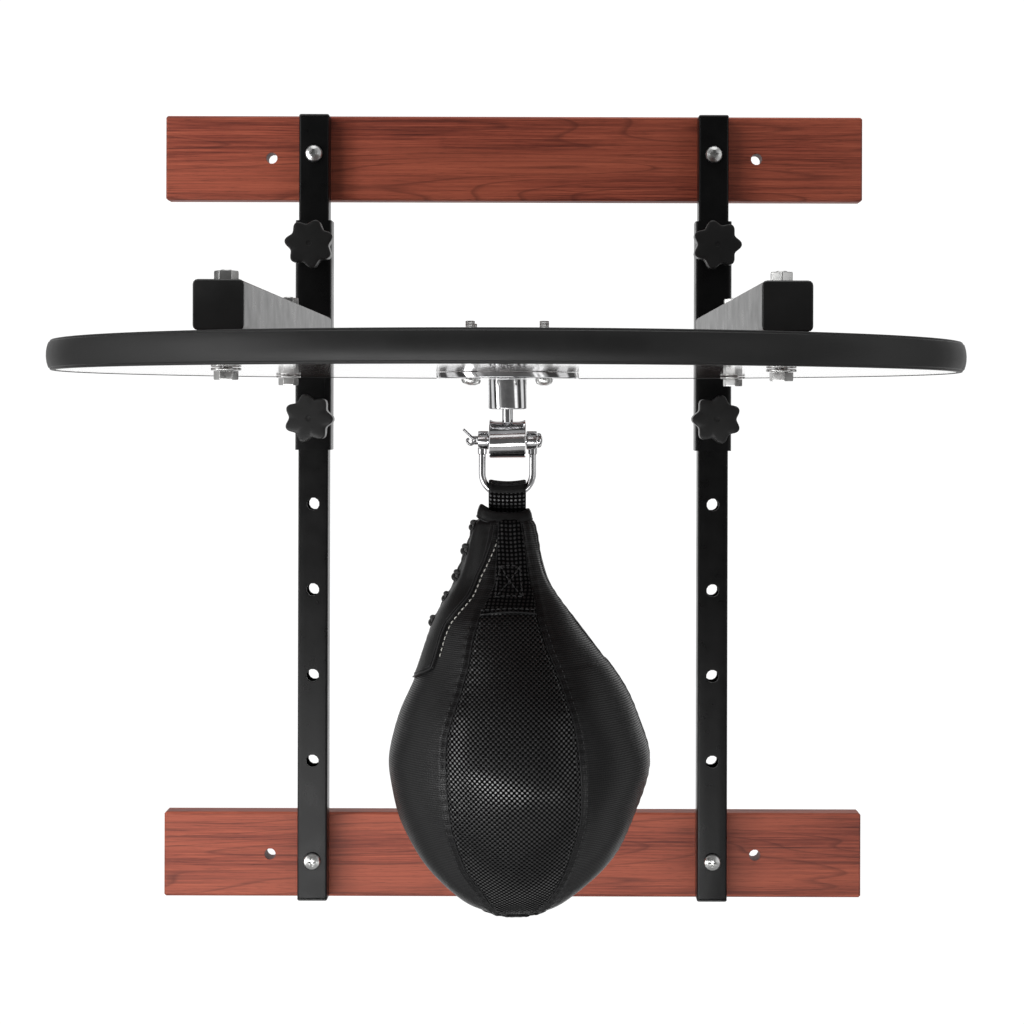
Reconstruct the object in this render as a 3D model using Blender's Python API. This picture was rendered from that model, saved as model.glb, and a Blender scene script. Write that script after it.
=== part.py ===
"""Wall-mounted speed bag platform, in metres, +Z up, +X to the viewer's right, +Y into the wall.

The origin is the middle of the top rail's back face, which lies against the wall. Two rails
carry two uprights. Two sleeves slide on the uprights and carry the arms, the round board and
the swivel, and the bag hangs from the swivel on a U-shackle.
"""

import math

import bmesh
import bpy
from mathutils import Vector

# Fits and edges
GAP = 0.0003  # between pieces that rest on or in each other
PAST = 0.002  # how far a cutter runs past the face it cuts
FINE_EDGE = 0.0006  # on turned metal
MOULDED_EDGE = 0.0008  # on plastic caps and plugs
SHANK_END = 0.0008  # chamfer on the end of a bolt's shank

# Rails and uprights
RAIL_SIZE = Vector((0.587, 0.0195, 0.071))
RAIL_SPACING = 0.5866
RAIL_EDGE = 0.0015
WALL_HOLE_X = 0.2043
WALL_HOLE_RADIUS = 0.00475
UPRIGHT_X = 0.1666
UPRIGHT_SIZE = (0.025, 0.020)
UPRIGHT_WALL = 0.0015
UPRIGHT_TOP = 0.0346
UPRIGHT_BOTTOM = -0.6212
TUBE_CORNER = 0.002
PLUG_FLANGE = 0.002
PLUG_DEPTH = 0.012
PLUG_TAPER = 0.0018
PLUG_CORNER = 0.001
RAIL_BOLT_OUTSET = 0.0014  # the rail bolts sit this far outward of each rail's middle line
BOLT_HOLE_RADIUS = 0.0044
BOLT_SHANK_RADIUS = 0.0039
RAIL_BOLT_HEAD = (0.00725, 0.0048)  # radius, height
RAIL_BOLT_LENGTH = 0.0365
TEE_NUT_FLANGE = (0.0100, 0.0015)
TEE_NUT_BARREL = (0.0052, 0.0130)
TEE_NUT_BORE = 0.0042

# Height adjustment
ADJUST_TOP = -0.0762
ADJUST_PITCH = 0.0714
ADJUST_COUNT = 7
ADJUST_RADIUS = 0.00525

# Carriage
SLEEVE_CLEARANCE = 0.0005
SLEEVE_WALL = 0.002
SLEEVE_CORNER = 0.003
SLEEVE_TOP = -0.0542
SLEEVE_BOTTOM = -0.2454
KNOB_HOLES = {"upper": 0, "lower": 2}
WELD_NUT = (0.0085, 0.008)  # half width across flats, thickness
STUD_RADIUS = 0.0047
KNOB_LOBES = 7
KNOB_RADIUS = 0.0181
KNOB_LOBE_HEIGHT = 0.0020
KNOB_HUB = (0.011, 0.010)
KNOB_TURN = {"upper_left": 174, "upper_right": 0, "lower_left": -2, "lower_right": 180}
KNOB_THICKNESS = 0.016
ARM_SIZE = 0.030
ARM_WALL = 0.002
ARM_CORNER = 0.003
ARM_TOP = -0.1347
ARM_FRONT = -0.5539
ARM_CAP_THICKNESS = 0.003
ARM_CAP_DEPTH = 0.014
ARM_CAP_TAPER = 0.002
SPACER = (0.011, 0.00195)
PLATFORM_BOLT_Y = {"front": -0.5218, "rear": -0.2119}

# Board
BOARD_Y = -0.3595
BOARD_Z = -0.1764
BOARD_RADIUS = 0.2990
BOARD_THICKNESS = 0.0189
BAND_HEIGHT = 0.0195
BAND_RADIUS = 0.3050
BAND_BULGE = 0.0023
BAND_EDGE = 0.0012
WASHER = (0.0092, 0.0016)
WASHER_EDGE = 0.0003
HEX_HEAD = (0.0065, 0.0053)  # half width across flats, height
HEX_NUT = (0.0065, 0.0065)
HEX_CHAMFER = 0.0009
BOLT_TURN = (38, 8)  # degrees, on the right and on the left
NUT_TURN = (27, 3)

# Swivel
PLATE_RADIUS = 0.0485
PLATE_THICKNESS = 0.004
SCREW_SQUARE = 0.0247
SCREW_HOLE_RADIUS = 0.0033
SCREW_SHANK_RADIUS = 0.0029
SCREW_HEAD = (0.0058, 0.0041)
SCREW_TOP = -0.1520
SCREW_NUT = (0.0050, 0.0050)
HOUSING_RADIUS = 0.013
HOUSING_BOTTOM = -0.2108
HOUSING_FLOOR = 0.004
HOUSING_CAVITY_RADIUS = 0.009
SPINDLE_RADIUS = 0.00375
SPINDLE_HEAD = (0.008, 0.005)
PIVOT_Z = -0.2319
BARREL_RADIUS = 0.0122
BARREL_HALF_LENGTH = 0.01235
SPINDLE_SOCKET = 0.006
PIVOT_RADIUS = 0.003
PIVOT_HOLE_RADIUS = 0.0034
PIVOT_HEAD = (0.0051, 0.0036)
PIVOT_END = -0.0242
COTTER_X = -0.0219
COTTER_RADIUS = 0.00055
COTTER_HOLE_RADIUS = 0.00155

# Shackle
EYE_RADIUS = 0.00635
EYE_INNER_X = 0.01275
EYE_OUTER_X = 0.0200
WIRE_RADIUS = 0.00235
WIRE_X = 0.0171
WIRE_BEND = 0.014
WIRE_BOTTOM = -0.2682

# Bag
STRAP_HALF_WIDTH = 0.0126
STRAP_THICKNESS = 0.0023
STRAP_ARCH = 0.0050  # inner radius of the loop
STRAP_ARCH_Z = -0.2654
STRAP_JOIN_Z = -0.2850
STRAP_END_Z = -0.3020
STRAP_SLIT = 0.0006  # half the gap where the two ends come together
COLLAR_Z = (-0.2750, -0.2859)
COLLAR_THICKNESS = 0.0015
LEATHER = 0.0020
BLADDER_WALL = 0.0015
LACE_RADIUS = 0.0013
LACE_LIFT = 0.0012  # how far the lace's middle stands off beyond its radius
LACE_TOP = -0.2930
LACE_BOTTOM = -0.3560
LACE_CROSSINGS = 10
LACE_ANGLE = math.radians(188)
LACE_SWING = math.radians(9)
# Height, half width and sideways lean of the bag, from the neck to the lowest point
BAG_OUTLINE = [
    (-0.2765, 0.0172, -0.0010),
    (-0.2862, 0.0172, -0.0012),
    (-0.2895, 0.0195, -0.0015),
    (-0.3250, 0.0303, -0.0028),
    (-0.3544, 0.0490, -0.0010),
    (-0.3849, 0.0660, 0.0060),
    (-0.4160, 0.0820, 0.0086),
    (-0.4490, 0.0885, 0.0087),
    (-0.4853, 0.0805, 0.0077),
    (-0.5200, 0.0600, 0.0067),
    (-0.5420, 0.0370, 0.0065),
    (-0.5515, 0.0140, 0.0060),
    (-0.5532, 0.0000, 0.0055),
]
BLADDER_OUTLINE = [
    (-0.3200, 0.0050, -0.0025),
    (-0.3330, 0.0050, -0.0020),
    (-0.3480, 0.0200, -0.0012),
    (-0.3750, 0.0540, 0.0040),
    (-0.4160, 0.0770, 0.0086),
    (-0.4490, 0.0835, 0.0087),
    (-0.4853, 0.0755, 0.0077),
    (-0.5190, 0.0545, 0.0067),
    (-0.5380, 0.0320, 0.0065),
    (-0.5470, 0.0110, 0.0060),
    (-0.5482, 0.0000, 0.0055),
]

SIDES = {"left": -1, "right": 1}
RAIL_FRONT = -RAIL_SIZE.y
UPRIGHT_Y = RAIL_FRONT - GAP - UPRIGHT_SIZE[1] / 2
UPRIGHT_FRONT = UPRIGHT_Y - UPRIGHT_SIZE[1] / 2
SLEEVE_FRONT = UPRIGHT_FRONT - SLEEVE_CLEARANCE - SLEEVE_WALL
BOARD_TOP = BOARD_Z + BOARD_THICKNESS / 2
BOARD_BOTTOM = BOARD_Z - BOARD_THICKNESS / 2
PLATE_BOTTOM = BOARD_BOTTOM - GAP - PLATE_THICKNESS
ALONG_X = (0, math.pi / 2, 0)
ALONG_Y = (math.pi / 2, 0, 0)


def clear_scene():
    for obj in list(bpy.data.objects):
        bpy.data.objects.remove(obj, do_unlink=True)


def material(name, colour, roughness, metallic=0.0):
    made = bpy.data.materials.new(name)
    made.use_nodes = True
    shader = made.node_tree.nodes["Principled BSDF"]
    shader.inputs["Base Color"].default_value = (*colour, 1)
    shader.inputs["Roughness"].default_value = roughness
    shader.inputs["Metallic"].default_value = metallic
    made.diffuse_color = (*colour, 1)
    return made


# Outlines and rings


def circle(radius, sides, z=0.0):
    if radius == 0:
        return [Vector((0, 0, z))]
    angles = [2 * math.pi * i / sides for i in range(sides)]
    return [Vector((radius * math.cos(a), radius * math.sin(a), z)) for a in angles]


def rounded_rectangle(width, depth, radius, z=0.0, steps=3):
    ring = []
    for corner, (sx, sy) in enumerate([(1, 1), (-1, 1), (-1, -1), (1, -1)]):
        middle = Vector((sx * (width / 2 - radius), sy * (depth / 2 - radius), z))
        for step in range(steps):
            angle = math.pi / 2 * (corner + step / (steps - 1))
            ring.append(middle + radius * Vector((math.cos(angle), math.sin(angle), 0)))
    return ring


def star(scale, z):
    sides = KNOB_LOBES * 5
    ring = []
    for i in range(sides):
        angle = 2 * math.pi * i / sides
        radius = scale * (KNOB_RADIUS + KNOB_LOBE_HEIGHT * math.cos(KNOB_LOBES * angle))
        ring.append(Vector((radius * math.cos(angle), radius * math.sin(angle), z)))
    return ring


def hexagon(half_flats, z=0.0):
    return circle(half_flats / math.cos(math.pi / 6), 6, z)


def cross(arm, half_width, z):
    corners = [(arm, half_width), (half_width, half_width), (half_width, arm)]
    ring = []
    for turn in range(4):
        for x, y in corners:
            for _ in range(turn):
                x, y = -y, x
            ring.append(Vector((x, y, z)))
    return ring


def smooth(points, steps):
    """A Catmull-Rom curve through the points, with this many steps to a span."""
    points = [Vector(p) for p in points]
    ends = [2 * points[0] - points[1], *points, 2 * points[-1] - points[-2]]
    curve = []
    for a, b, c, d in zip(ends, ends[1:], ends[2:], ends[3:]):
        for step in range(steps):
            t = step / steps
            curve.append(
                0.5 * (2 * b + (c - a) * t + (2 * a - 5 * b + 4 * c - d) * t**2
                       + (3 * b - a - 3 * c + d) * t**3)
            )
    return [*curve, points[-1]]


# Closed bodies


def skin(rings, looped=False):
    """One body through the rings, where a ring of one point closes to a pole.

    A looped body joins its last ring to its first; any other has its two ends closed.
    """
    body = bmesh.new()
    rows = [[body.verts.new(point) for point in ring] for ring in rings]
    following = rows[1:] + ([rows[0]] if looped else [])
    for row, after in zip(rows, following):
        sides = max(len(row), len(after))
        for i in range(sides):
            j = (i + 1) % sides
            corners = [row[i % len(row)], row[j % len(row)]]
            corners += [after[j % len(after)], after[i % len(after)]]
            body.faces.new(list(dict.fromkeys(corners)))
    if not looped:
        for row in (rows[0], rows[-1]):
            if len(row) > 1:
                body.faces.new(row)
    bmesh.ops.recalc_face_normals(body, faces=body.faces)
    return body


def turned(profile, sides, looped=False):
    return skin([circle(radius, sides, z) for radius, z in profile], looped)


def swept(points, radius, sides):
    """A round wire along the points, with its ends closed."""
    points = [Vector(p) for p in points]
    rings = []
    across = None
    for i, point in enumerate(points):
        along = (points[min(i + 1, len(points) - 1)] - points[max(i - 1, 0)]).normalized()
        if across is None:
            across = along.orthogonal().normalized()
        across = (across - across.dot(along) * along).normalized()
        up = along.cross(across)
        angles = [2 * math.pi * k / sides for k in range(sides)]
        rings.append([point + radius * (math.cos(a) * across + math.sin(a) * up) for a in angles])
    return skin(rings)


def rods(starts, travel, radius, sides=12):
    """Separate parallel rods, one from each start point, as one cutter."""
    body = bmesh.new()
    for start in starts:
        rod = swept([start, Vector(start) + Vector(travel)], radius, sides)
        mesh = bpy.data.meshes.new("rod")
        rod.to_mesh(mesh)
        body.from_mesh(mesh)
        bpy.data.meshes.remove(mesh)
    return body


def ring_profile(inner, outer, bottom, top, chamfer):
    """The section of a ring whose two outer edges are chamfered."""
    return [
        (outer - chamfer, top),
        (outer, top - chamfer),
        (outer, bottom + chamfer),
        (outer - chamfer, bottom),
        (inner, bottom),
        (inner, top),
    ]


def bar(size, edge=0.0):
    body = bmesh.new()
    bmesh.ops.create_cube(body, size=1)
    bmesh.ops.scale(body, vec=size, verts=body.verts)
    if edge:
        bmesh.ops.bevel(body, geom=body.edges[:], offset=edge, segments=1, affect="EDGES")
    return body


# Objects


def add(name, body, finish, location=(0, 0, 0), rotation=(0, 0, 0), parent=None):
    mesh = bpy.data.meshes.new(name)
    body.to_mesh(mesh)
    body.free()
    mesh.shade_smooth()
    mesh.set_sharp_from_angle(angle=math.radians(35))
    if finish:
        mesh.materials.append(finish)
    obj = bpy.data.objects.new(name, mesh)
    obj.location = location
    obj.rotation_euler = rotation
    obj.parent = parent
    bpy.context.scene.collection.objects.link(obj)
    return obj


def shape(target, body, operation="DIFFERENCE"):
    """Cuts the body out of the target, or joins it on. The body is in the target's own axes."""
    tool = add(f"{target.name}_{operation.lower()}_{len(target.modifiers)}", body, None)
    tool.parent = target
    tool.hide_render = True
    tool.display_type = "WIRE"
    modifier = target.modifiers.new(operation.lower(), "BOOLEAN")
    modifier.operation = operation
    modifier.solver = "EXACT"
    modifier.object = tool


def axis(name, location, parent=None):
    """An empty on a joint's axis, which carries a moving body. The location is in world axes."""
    empty = bpy.data.objects.new(name, None)
    empty.location = Vector(location) - (Vector(parent["at"]) if parent else Vector())
    empty["at"] = tuple(location)
    empty.parent = parent
    bpy.context.scene.collection.objects.link(empty)
    return empty


def on(carrier, name, body, finish, location=(0, 0, 0), rotation=(0, 0, 0)):
    """Adds an object at a world location under a carrier empty."""
    return add(name, body, finish, Vector(location) - Vector(carrier["at"]), rotation, carrier)


# Fasteners, each with its head towards -Z and its shank towards +Z


def pan_screw(head, shank_radius, length, sides=14):
    """A domed screw: the head's underside is at zero and the dome hangs below the shank."""
    radius, height = head
    rim = 0.35 * height
    profile = [
        (0, length),
        (0.85 * shank_radius, length),
        (shank_radius, length - 0.3 * shank_radius),
        (shank_radius, 0),
        (radius, 0),
        (radius, -rim),
    ]
    for step in (1, 2):
        angle = math.pi / 2 * step / 3
        profile.append((radius * math.cos(angle), -rim - (height - rim) * math.sin(angle)))
    profile.append((0, -height))
    return turned(profile, sides)


def phillips(head):
    radius, height = head
    return skin([
        cross(0.62 * radius, 0.15 * radius, -1.2 * height),
        cross(0.22 * radius, 0.10 * radius, -0.35 * height),
    ])


def hex_bolt(head, shank_radius, length):
    """The shank and the head of a hex bolt, with the head's underside at zero."""
    half_flats, height = head
    shank = skin([
        circle(0.85 * shank_radius, 12, length),
        circle(shank_radius, 12, length - SHANK_END),
        circle(shank_radius, 12, -height / 2),
    ])
    return shank, hex_block(half_flats, 0, -height)


def hex_block(half_flats, flat_end, domed_end):
    """A hexagonal block with one end chamfered to a slightly smaller face."""
    inward = math.copysign(HEX_CHAMFER, flat_end - domed_end)
    return skin([
        hexagon(half_flats, flat_end),
        hexagon(half_flats, domed_end + inward),
        hexagon(0.96 * half_flats, domed_end),
    ])


def hex_nut(size, bore):
    """A nut standing on zero, and the cutter for its bore."""
    half_flats, height = size
    hole = rods([(0, 0, -PAST)], (0, 0, height + 2 * PAST), bore, 12)
    return hex_block(half_flats, 0, height), hole


# Fixed frame


def make_rail(name, z, outward, wood):
    """A rail with two wall-screw holes, and two bolt holes counterbored for the tee nuts."""
    rail = add(name, bar(RAIL_SIZE, RAIL_EDGE), wood, (0, -RAIL_SIZE.y / 2, z))
    front = -RAIL_SIZE.y / 2 - PAST
    back = RAIL_SIZE.y / 2 + PAST
    through = (0, back - front, 0)
    screws = [(s * WALL_HOLE_X, front, 0) for s in SIDES.values()]
    shape(rail, rods(screws, through, WALL_HOLE_RADIUS))
    bolts = [Vector((s * UPRIGHT_X, 0, outward * RAIL_BOLT_OUTSET)) for s in SIDES.values()]
    shape(rail, rods([b + Vector((0, front, 0)) for b in bolts], through, BOLT_HOLE_RADIUS))
    starts = [b + Vector((0, back, 0)) for b in bolts]
    flange_radius, flange = TEE_NUT_FLANGE
    radius, length = TEE_NUT_BARREL
    shape(rail, rods(starts, (0, -length - PAST - 0.001, 0), radius + GAP))
    shape(rail, rods(starts, (0, -flange - PAST - 2 * GAP, 0), flange_radius + GAP, 20))


def make_tee_nut(name, x, z, steel):
    flange_radius, flange = TEE_NUT_FLANGE
    radius, length = TEE_NUT_BARREL
    profile = [
        (flange_radius, 0),
        (flange_radius, flange),
        (radius, flange),
        (radius, length),
        (TEE_NUT_BORE, length),
        (TEE_NUT_BORE, 0),
    ]
    add(name, turned(profile, 12, looped=True), steel, (x, -GAP, z), ALONG_Y)


def make_rail_bolt(name, x, z, steel):
    bolt = add(
        name,
        pan_screw(RAIL_BOLT_HEAD, BOLT_SHANK_RADIUS, RAIL_BOLT_LENGTH),
        steel,
        (x, UPRIGHT_FRONT - GAP, z),
        (-math.pi / 2, 0, 0),
    )
    shape(bolt, phillips(RAIL_BOLT_HEAD))


def rectangular_tube(width, depth, wall, corner, bottom, top):
    inner_corner = max(corner - wall, 0.0004)
    sizes = [(width, depth, corner, bottom), (width, depth, corner, top)]
    hollow = (width - 2 * wall, depth - 2 * wall, inner_corner)
    sizes += [(*hollow, top), (*hollow, bottom)]
    return skin([rounded_rectangle(w, d, r, z) for w, d, r, z in sizes], looped=True)


def make_upright(side, paint):
    x = SIDES[side] * UPRIGHT_X
    bottom = UPRIGHT_BOTTOM + PLUG_FLANGE + GAP
    top = UPRIGHT_TOP - PLUG_FLANGE - GAP
    tube = rectangular_tube(*UPRIGHT_SIZE, UPRIGHT_WALL, TUBE_CORNER, bottom, top)
    upright = add(f"upright_{side}", tube, paint, (x, UPRIGHT_Y, 0))
    front = -UPRIGHT_SIZE[1] / 2 - PAST
    through = (0, UPRIGHT_SIZE[1] + 2 * PAST, 0)
    holes = [(0, front, ADJUST_TOP - k * ADJUST_PITCH) for k in range(ADJUST_COUNT)]
    shape(upright, rods(holes, through, ADJUST_RADIUS, 12))
    bolts = [(0, front, z) for z in (RAIL_BOLT_OUTSET, -RAIL_SPACING - RAIL_BOLT_OUTSET)]
    shape(upright, rods(bolts, through, BOLT_HOLE_RADIUS, 10))


def make_plug(end, side, plastic):
    """A tube plug: a flange over the tube's end and a tapered body inside it."""
    width, depth = UPRIGHT_SIZE
    clear = 2 * UPRIGHT_WALL + 2 * GAP
    tip = PLUG_FLANGE + PLUG_DEPTH
    # Width, depth, corner and height of each ring, from the tip to the outer face
    sizes = [
        (width - clear - PLUG_TAPER, depth - clear - PLUG_TAPER, PLUG_CORNER, tip),
        (width - clear, depth - clear, PLUG_CORNER, tip - PLUG_TAPER),
        (width - clear, depth - clear, PLUG_CORNER, PLUG_FLANGE),
        (width, depth, TUBE_CORNER, PLUG_FLANGE),
        (width, depth, TUBE_CORNER, MOULDED_EDGE),
        (width - 2 * MOULDED_EDGE, depth - 2 * MOULDED_EDGE, TUBE_CORNER - MOULDED_EDGE, 0),
    ]
    face, tilt = (UPRIGHT_TOP, math.pi) if end == "top" else (UPRIGHT_BOTTOM, 0)
    place = (SIDES[side] * UPRIGHT_X, UPRIGHT_Y, face)
    body = skin([rounded_rectangle(*size) for size in sizes])
    add(f"upright_plug_{end}_{side}", body, plastic, place, (tilt, 0, 0))


def make_frame(finish):
    rails = {"top": (0, 1), "bottom": (-RAIL_SPACING, -1)}
    for end, (z, outward) in rails.items():
        make_rail(f"wall_rail_{end}", z, outward, finish["rail_wood"])
        bolt_z = z + outward * RAIL_BOLT_OUTSET
        for side, sign in SIDES.items():
            make_rail_bolt(f"rail_bolt_{end}_{side}", sign * UPRIGHT_X, bolt_z, finish["zinc"])
            make_tee_nut(f"tee_nut_{end}_{side}", sign * UPRIGHT_X, bolt_z, finish["zinc"])
            make_plug(end, side, finish["black_plastic"])
    for side in SIDES:
        make_upright(side, finish["black_paint"])


# Carriage


def make_sleeve(carrier, side, paint):
    width = UPRIGHT_SIZE[0] + 2 * (SLEEVE_CLEARANCE + SLEEVE_WALL)
    depth = UPRIGHT_SIZE[1] + 2 * (SLEEVE_CLEARANCE + SLEEVE_WALL)
    tube = rectangular_tube(width, depth, SLEEVE_WALL, SLEEVE_CORNER, SLEEVE_BOTTOM, SLEEVE_TOP)
    sleeve = on(carrier, f"sleeve_{side}", tube, paint, (SIDES[side] * UPRIGHT_X, UPRIGHT_Y, 0))
    half_flats, thickness = WELD_NUT
    front = SLEEVE_FRONT - UPRIGHT_Y
    heights = [ADJUST_TOP - hole * ADJUST_PITCH for hole in KNOB_HOLES.values()]
    for z in heights:
        ring = [Vector((p.x, front - thickness, z + p.y)) for p in hexagon(half_flats)]
        rooted = [Vector((p.x, front + SLEEVE_WALL / 2, p.z)) for p in ring]
        shape(sleeve, skin([ring, rooted]), "UNION")
    starts = [(0, front - thickness - PAST, z) for z in heights]
    depth = PAST + thickness + SLEEVE_WALL + SLEEVE_CLEARANCE
    shape(sleeve, rods(starts, (0, depth, 0), STUD_RADIUS + GAP))


def make_knob(carriage, level, side, plastic):
    """A seven-lobed knob moulded onto its stud, which runs through the weld nut to the tube."""
    z = ADJUST_TOP - KNOB_HOLES[level] * ADJUST_PITCH
    back = SLEEVE_FRONT - WELD_NUT[1] - GAP
    x = SIDES[side] * UPRIGHT_X
    carrier = axis(f"star_knob_{level}_{side}_axis", (x, back, z), carriage)
    hub_radius, hub = KNOB_HUB
    head = hub + KNOB_THICKNESS
    rings = [star(0.93, hub), star(1, hub + 0.002), star(1, head - 0.003), star(0.85, head)]
    turn = (math.pi / 2, math.radians(-KNOB_TURN[f"{level}_{side}"]), 0)
    knob = on(carrier, f"star_knob_{level}_{side}", skin(rings), plastic, (x, back, z), turn)
    stud = WELD_NUT[1] + SLEEVE_WALL + GAP
    inside = hub + KNOB_THICKNESS / 2
    profile = [
        (0, inside),
        (hub_radius, inside),
        (0.9 * hub_radius, 0),
        (STUD_RADIUS, 0),
        (STUD_RADIUS, SHANK_END - stud),
        (STUD_RADIUS - SHANK_END, -stud),
        (0, -stud),
    ]
    shape(knob, turned(profile, 12), "UNION")


def make_arm(carrier, side, paint):
    """A square arm from the sleeve to its end cap, with a welded spacer at each platform bolt."""
    x = SIDES[side] * UPRIGHT_X
    rear = SLEEVE_FRONT - GAP
    front = ARM_FRONT + ARM_CAP_THICKNESS + GAP
    middle = ARM_TOP - ARM_SIZE / 2
    tube = rectangular_tube(ARM_SIZE, ARM_SIZE, ARM_WALL, ARM_CORNER, -rear, -front)
    arm = on(carrier, f"arm_{side}", tube, paint, (x, 0, middle), ALONG_Y)
    radius, thickness = SPACER
    down = -ARM_SIZE / 2
    # Turned onto its side, the arm's own Z is world -Y and its own Y is world +Z.
    rise = (0, -ARM_WALL / 2 - thickness, 0)
    for y in PLATFORM_BOLT_Y.values():
        shape(arm, rods([(0, down + ARM_WALL / 2, -y)], rise, radius, 20), "UNION")
    starts = [(0, down - thickness - PAST, -y) for y in PLATFORM_BOLT_Y.values()]
    through = (0, ARM_SIZE + thickness + 2 * PAST, 0)
    shape(arm, rods(starts, through, BOLT_HOLE_RADIUS, 14))


def make_arm_cap(carrier, side, plastic):
    """An end cap: a square flange with round corners and a tapered body inside the arm."""
    inside = ARM_SIZE - 2 * ARM_WALL - 2 * GAP
    tip = -ARM_CAP_THICKNESS - ARM_CAP_DEPTH
    # Width, corner and height of each square ring, from the tip to the outer face
    squares = [
        (inside - ARM_CAP_TAPER, PLUG_CORNER, tip),
        (inside, PLUG_CORNER, tip + ARM_CAP_TAPER),
        (inside, PLUG_CORNER, -ARM_CAP_THICKNESS),
        (ARM_SIZE, ARM_CORNER, -ARM_CAP_THICKNESS),
        (ARM_SIZE, ARM_CORNER, -MOULDED_EDGE),
        (ARM_SIZE - 2 * MOULDED_EDGE, ARM_CORNER - MOULDED_EDGE, 0),
    ]
    rings = [rounded_rectangle(width, width, radius, z, 4) for width, radius, z in squares]
    place = (SIDES[side] * UPRIGHT_X, ARM_FRONT, ARM_TOP - ARM_SIZE / 2)
    on(carrier, f"arm_end_cap_{side}", skin(rings), plastic, place, ALONG_Y)


def screw_places():
    return {
        f"{depth}_{side}": (sx * SCREW_SQUARE, BOARD_Y + sy * SCREW_SQUARE)
        for depth, sy in (("front", -1), ("rear", 1))
        for side, sx in SIDES.items()
    }


def bolt_places():
    return {
        f"{depth}_{side}": (sx * UPRIGHT_X, y)
        for depth, y in PLATFORM_BOLT_Y.items()
        for side, sx in SIDES.items()
    }


def make_board(carrier, wood, rubber):
    half = BOARD_THICKNESS / 2
    profile = [(0, half), (BOARD_RADIUS, half), (BOARD_RADIUS, -half), (0, -half)]
    body = turned(profile, 80)
    board = on(carrier, "platform_board", body, wood, (0, BOARD_Y, BOARD_Z))
    below = -half - PAST
    through = (0, 0, BOARD_THICKNESS + 2 * PAST)
    bolts = [(x, y - BOARD_Y, below) for x, y in bolt_places().values()]
    shape(board, rods(bolts, through, BOLT_HOLE_RADIUS, 14))
    screws = [(x, y - BOARD_Y, below) for x, y in screw_places().values()]
    shape(board, rods(screws, through, SCREW_HOLE_RADIUS, 12))

    inner = BOARD_RADIUS + GAP
    half = BAND_HEIGHT / 2
    low = BAND_RADIUS - BAND_BULGE
    outside = [(low - BAND_EDGE, half), (low, half - BAND_EDGE), (BAND_RADIUS, 0.45 * half)]
    outside += [(radius, -z) for radius, z in reversed(outside)]
    body = turned([(inner, -half), (inner, half), *outside], 80, looped=True)
    on(carrier, "edge_band", body, rubber, (0, BOARD_Y, BOARD_Z))


def make_platform_fastener(carrier, place, x, y, steel):
    washer_radius, washer = WASHER
    top = BOARD_BOTTOM - GAP
    profile = ring_profile(BOLT_HOLE_RADIUS, washer_radius, -washer, 0, WASHER_EDGE)
    on(carrier, f"platform_washer_{place}", turned(profile, 16, looped=True), steel, (x, y, top))
    seat = top - washer - GAP
    nut_seat = ARM_TOP + GAP
    shank, head = hex_bolt(HEX_HEAD, BOLT_SHANK_RADIUS, nut_seat + HEX_NUT[1] + 0.0007 - seat)
    turn = (0, 0, math.radians(BOLT_TURN[x < 0]))
    bolt = on(carrier, f"platform_bolt_{place}", head, steel, (x, y, seat), turn)
    shape(bolt, shank, "UNION")
    block, bore = hex_nut(HEX_NUT, BOLT_SHANK_RADIUS + GAP)
    turn = (0, 0, math.radians(NUT_TURN[x < 0]))
    nut = on(carrier, f"platform_nut_{place}", block, steel, (x, y, nut_seat), turn)
    shape(nut, bore)


def make_swivel_mount(carrier, chrome, steel):
    """The plate under the board, its four screws and nuts, and the round housing."""
    half = PLATE_THICKNESS / 2
    profile = [
        (0, half),
        (PLATE_RADIUS, half),
        (PLATE_RADIUS, FINE_EDGE - half),
        (PLATE_RADIUS - FINE_EDGE, -half),
        (0, -half),
    ]
    body = turned(profile, 40)
    plate = on(carrier, "swivel_plate", body, chrome, (0, BOARD_Y, PLATE_BOTTOM + half))
    starts = [(x, y - BOARD_Y, -half - PAST) for x, y in screw_places().values()]
    through = (0, 0, PLATE_THICKNESS + 2 * PAST)
    shape(plate, rods(starts, through, SCREW_HOLE_RADIUS, 12))

    for place, (x, y) in screw_places().items():
        seat = PLATE_BOTTOM - GAP
        body = pan_screw(SCREW_HEAD, SCREW_SHANK_RADIUS, SCREW_TOP - seat, 12)
        screw = on(carrier, f"swivel_screw_{place}", body, steel, (x, y, seat))
        shape(screw, phillips(SCREW_HEAD))
        block, bore = hex_nut(SCREW_NUT, SCREW_SHANK_RADIUS + GAP)
        nut = on(carrier, f"swivel_nut_{place}", block, steel, (x, y, BOARD_TOP + GAP))
        shape(nut, bore)

    top = PLATE_BOTTOM - GAP
    floor = HOUSING_BOTTOM + HOUSING_FLOOR
    bore = SPINDLE_RADIUS + GAP
    profile = [
        (HOUSING_RADIUS, top),
        (HOUSING_RADIUS, HOUSING_BOTTOM + FINE_EDGE),
        (HOUSING_RADIUS - FINE_EDGE, HOUSING_BOTTOM),
        (bore, HOUSING_BOTTOM),
        (bore, floor),
        (HOUSING_CAVITY_RADIUS, floor),
        (HOUSING_CAVITY_RADIUS, top),
    ]
    body = turned(profile, 24, looped=True)
    on(carrier, "swivel_housing", body, chrome, (0, BOARD_Y, 0))


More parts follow.
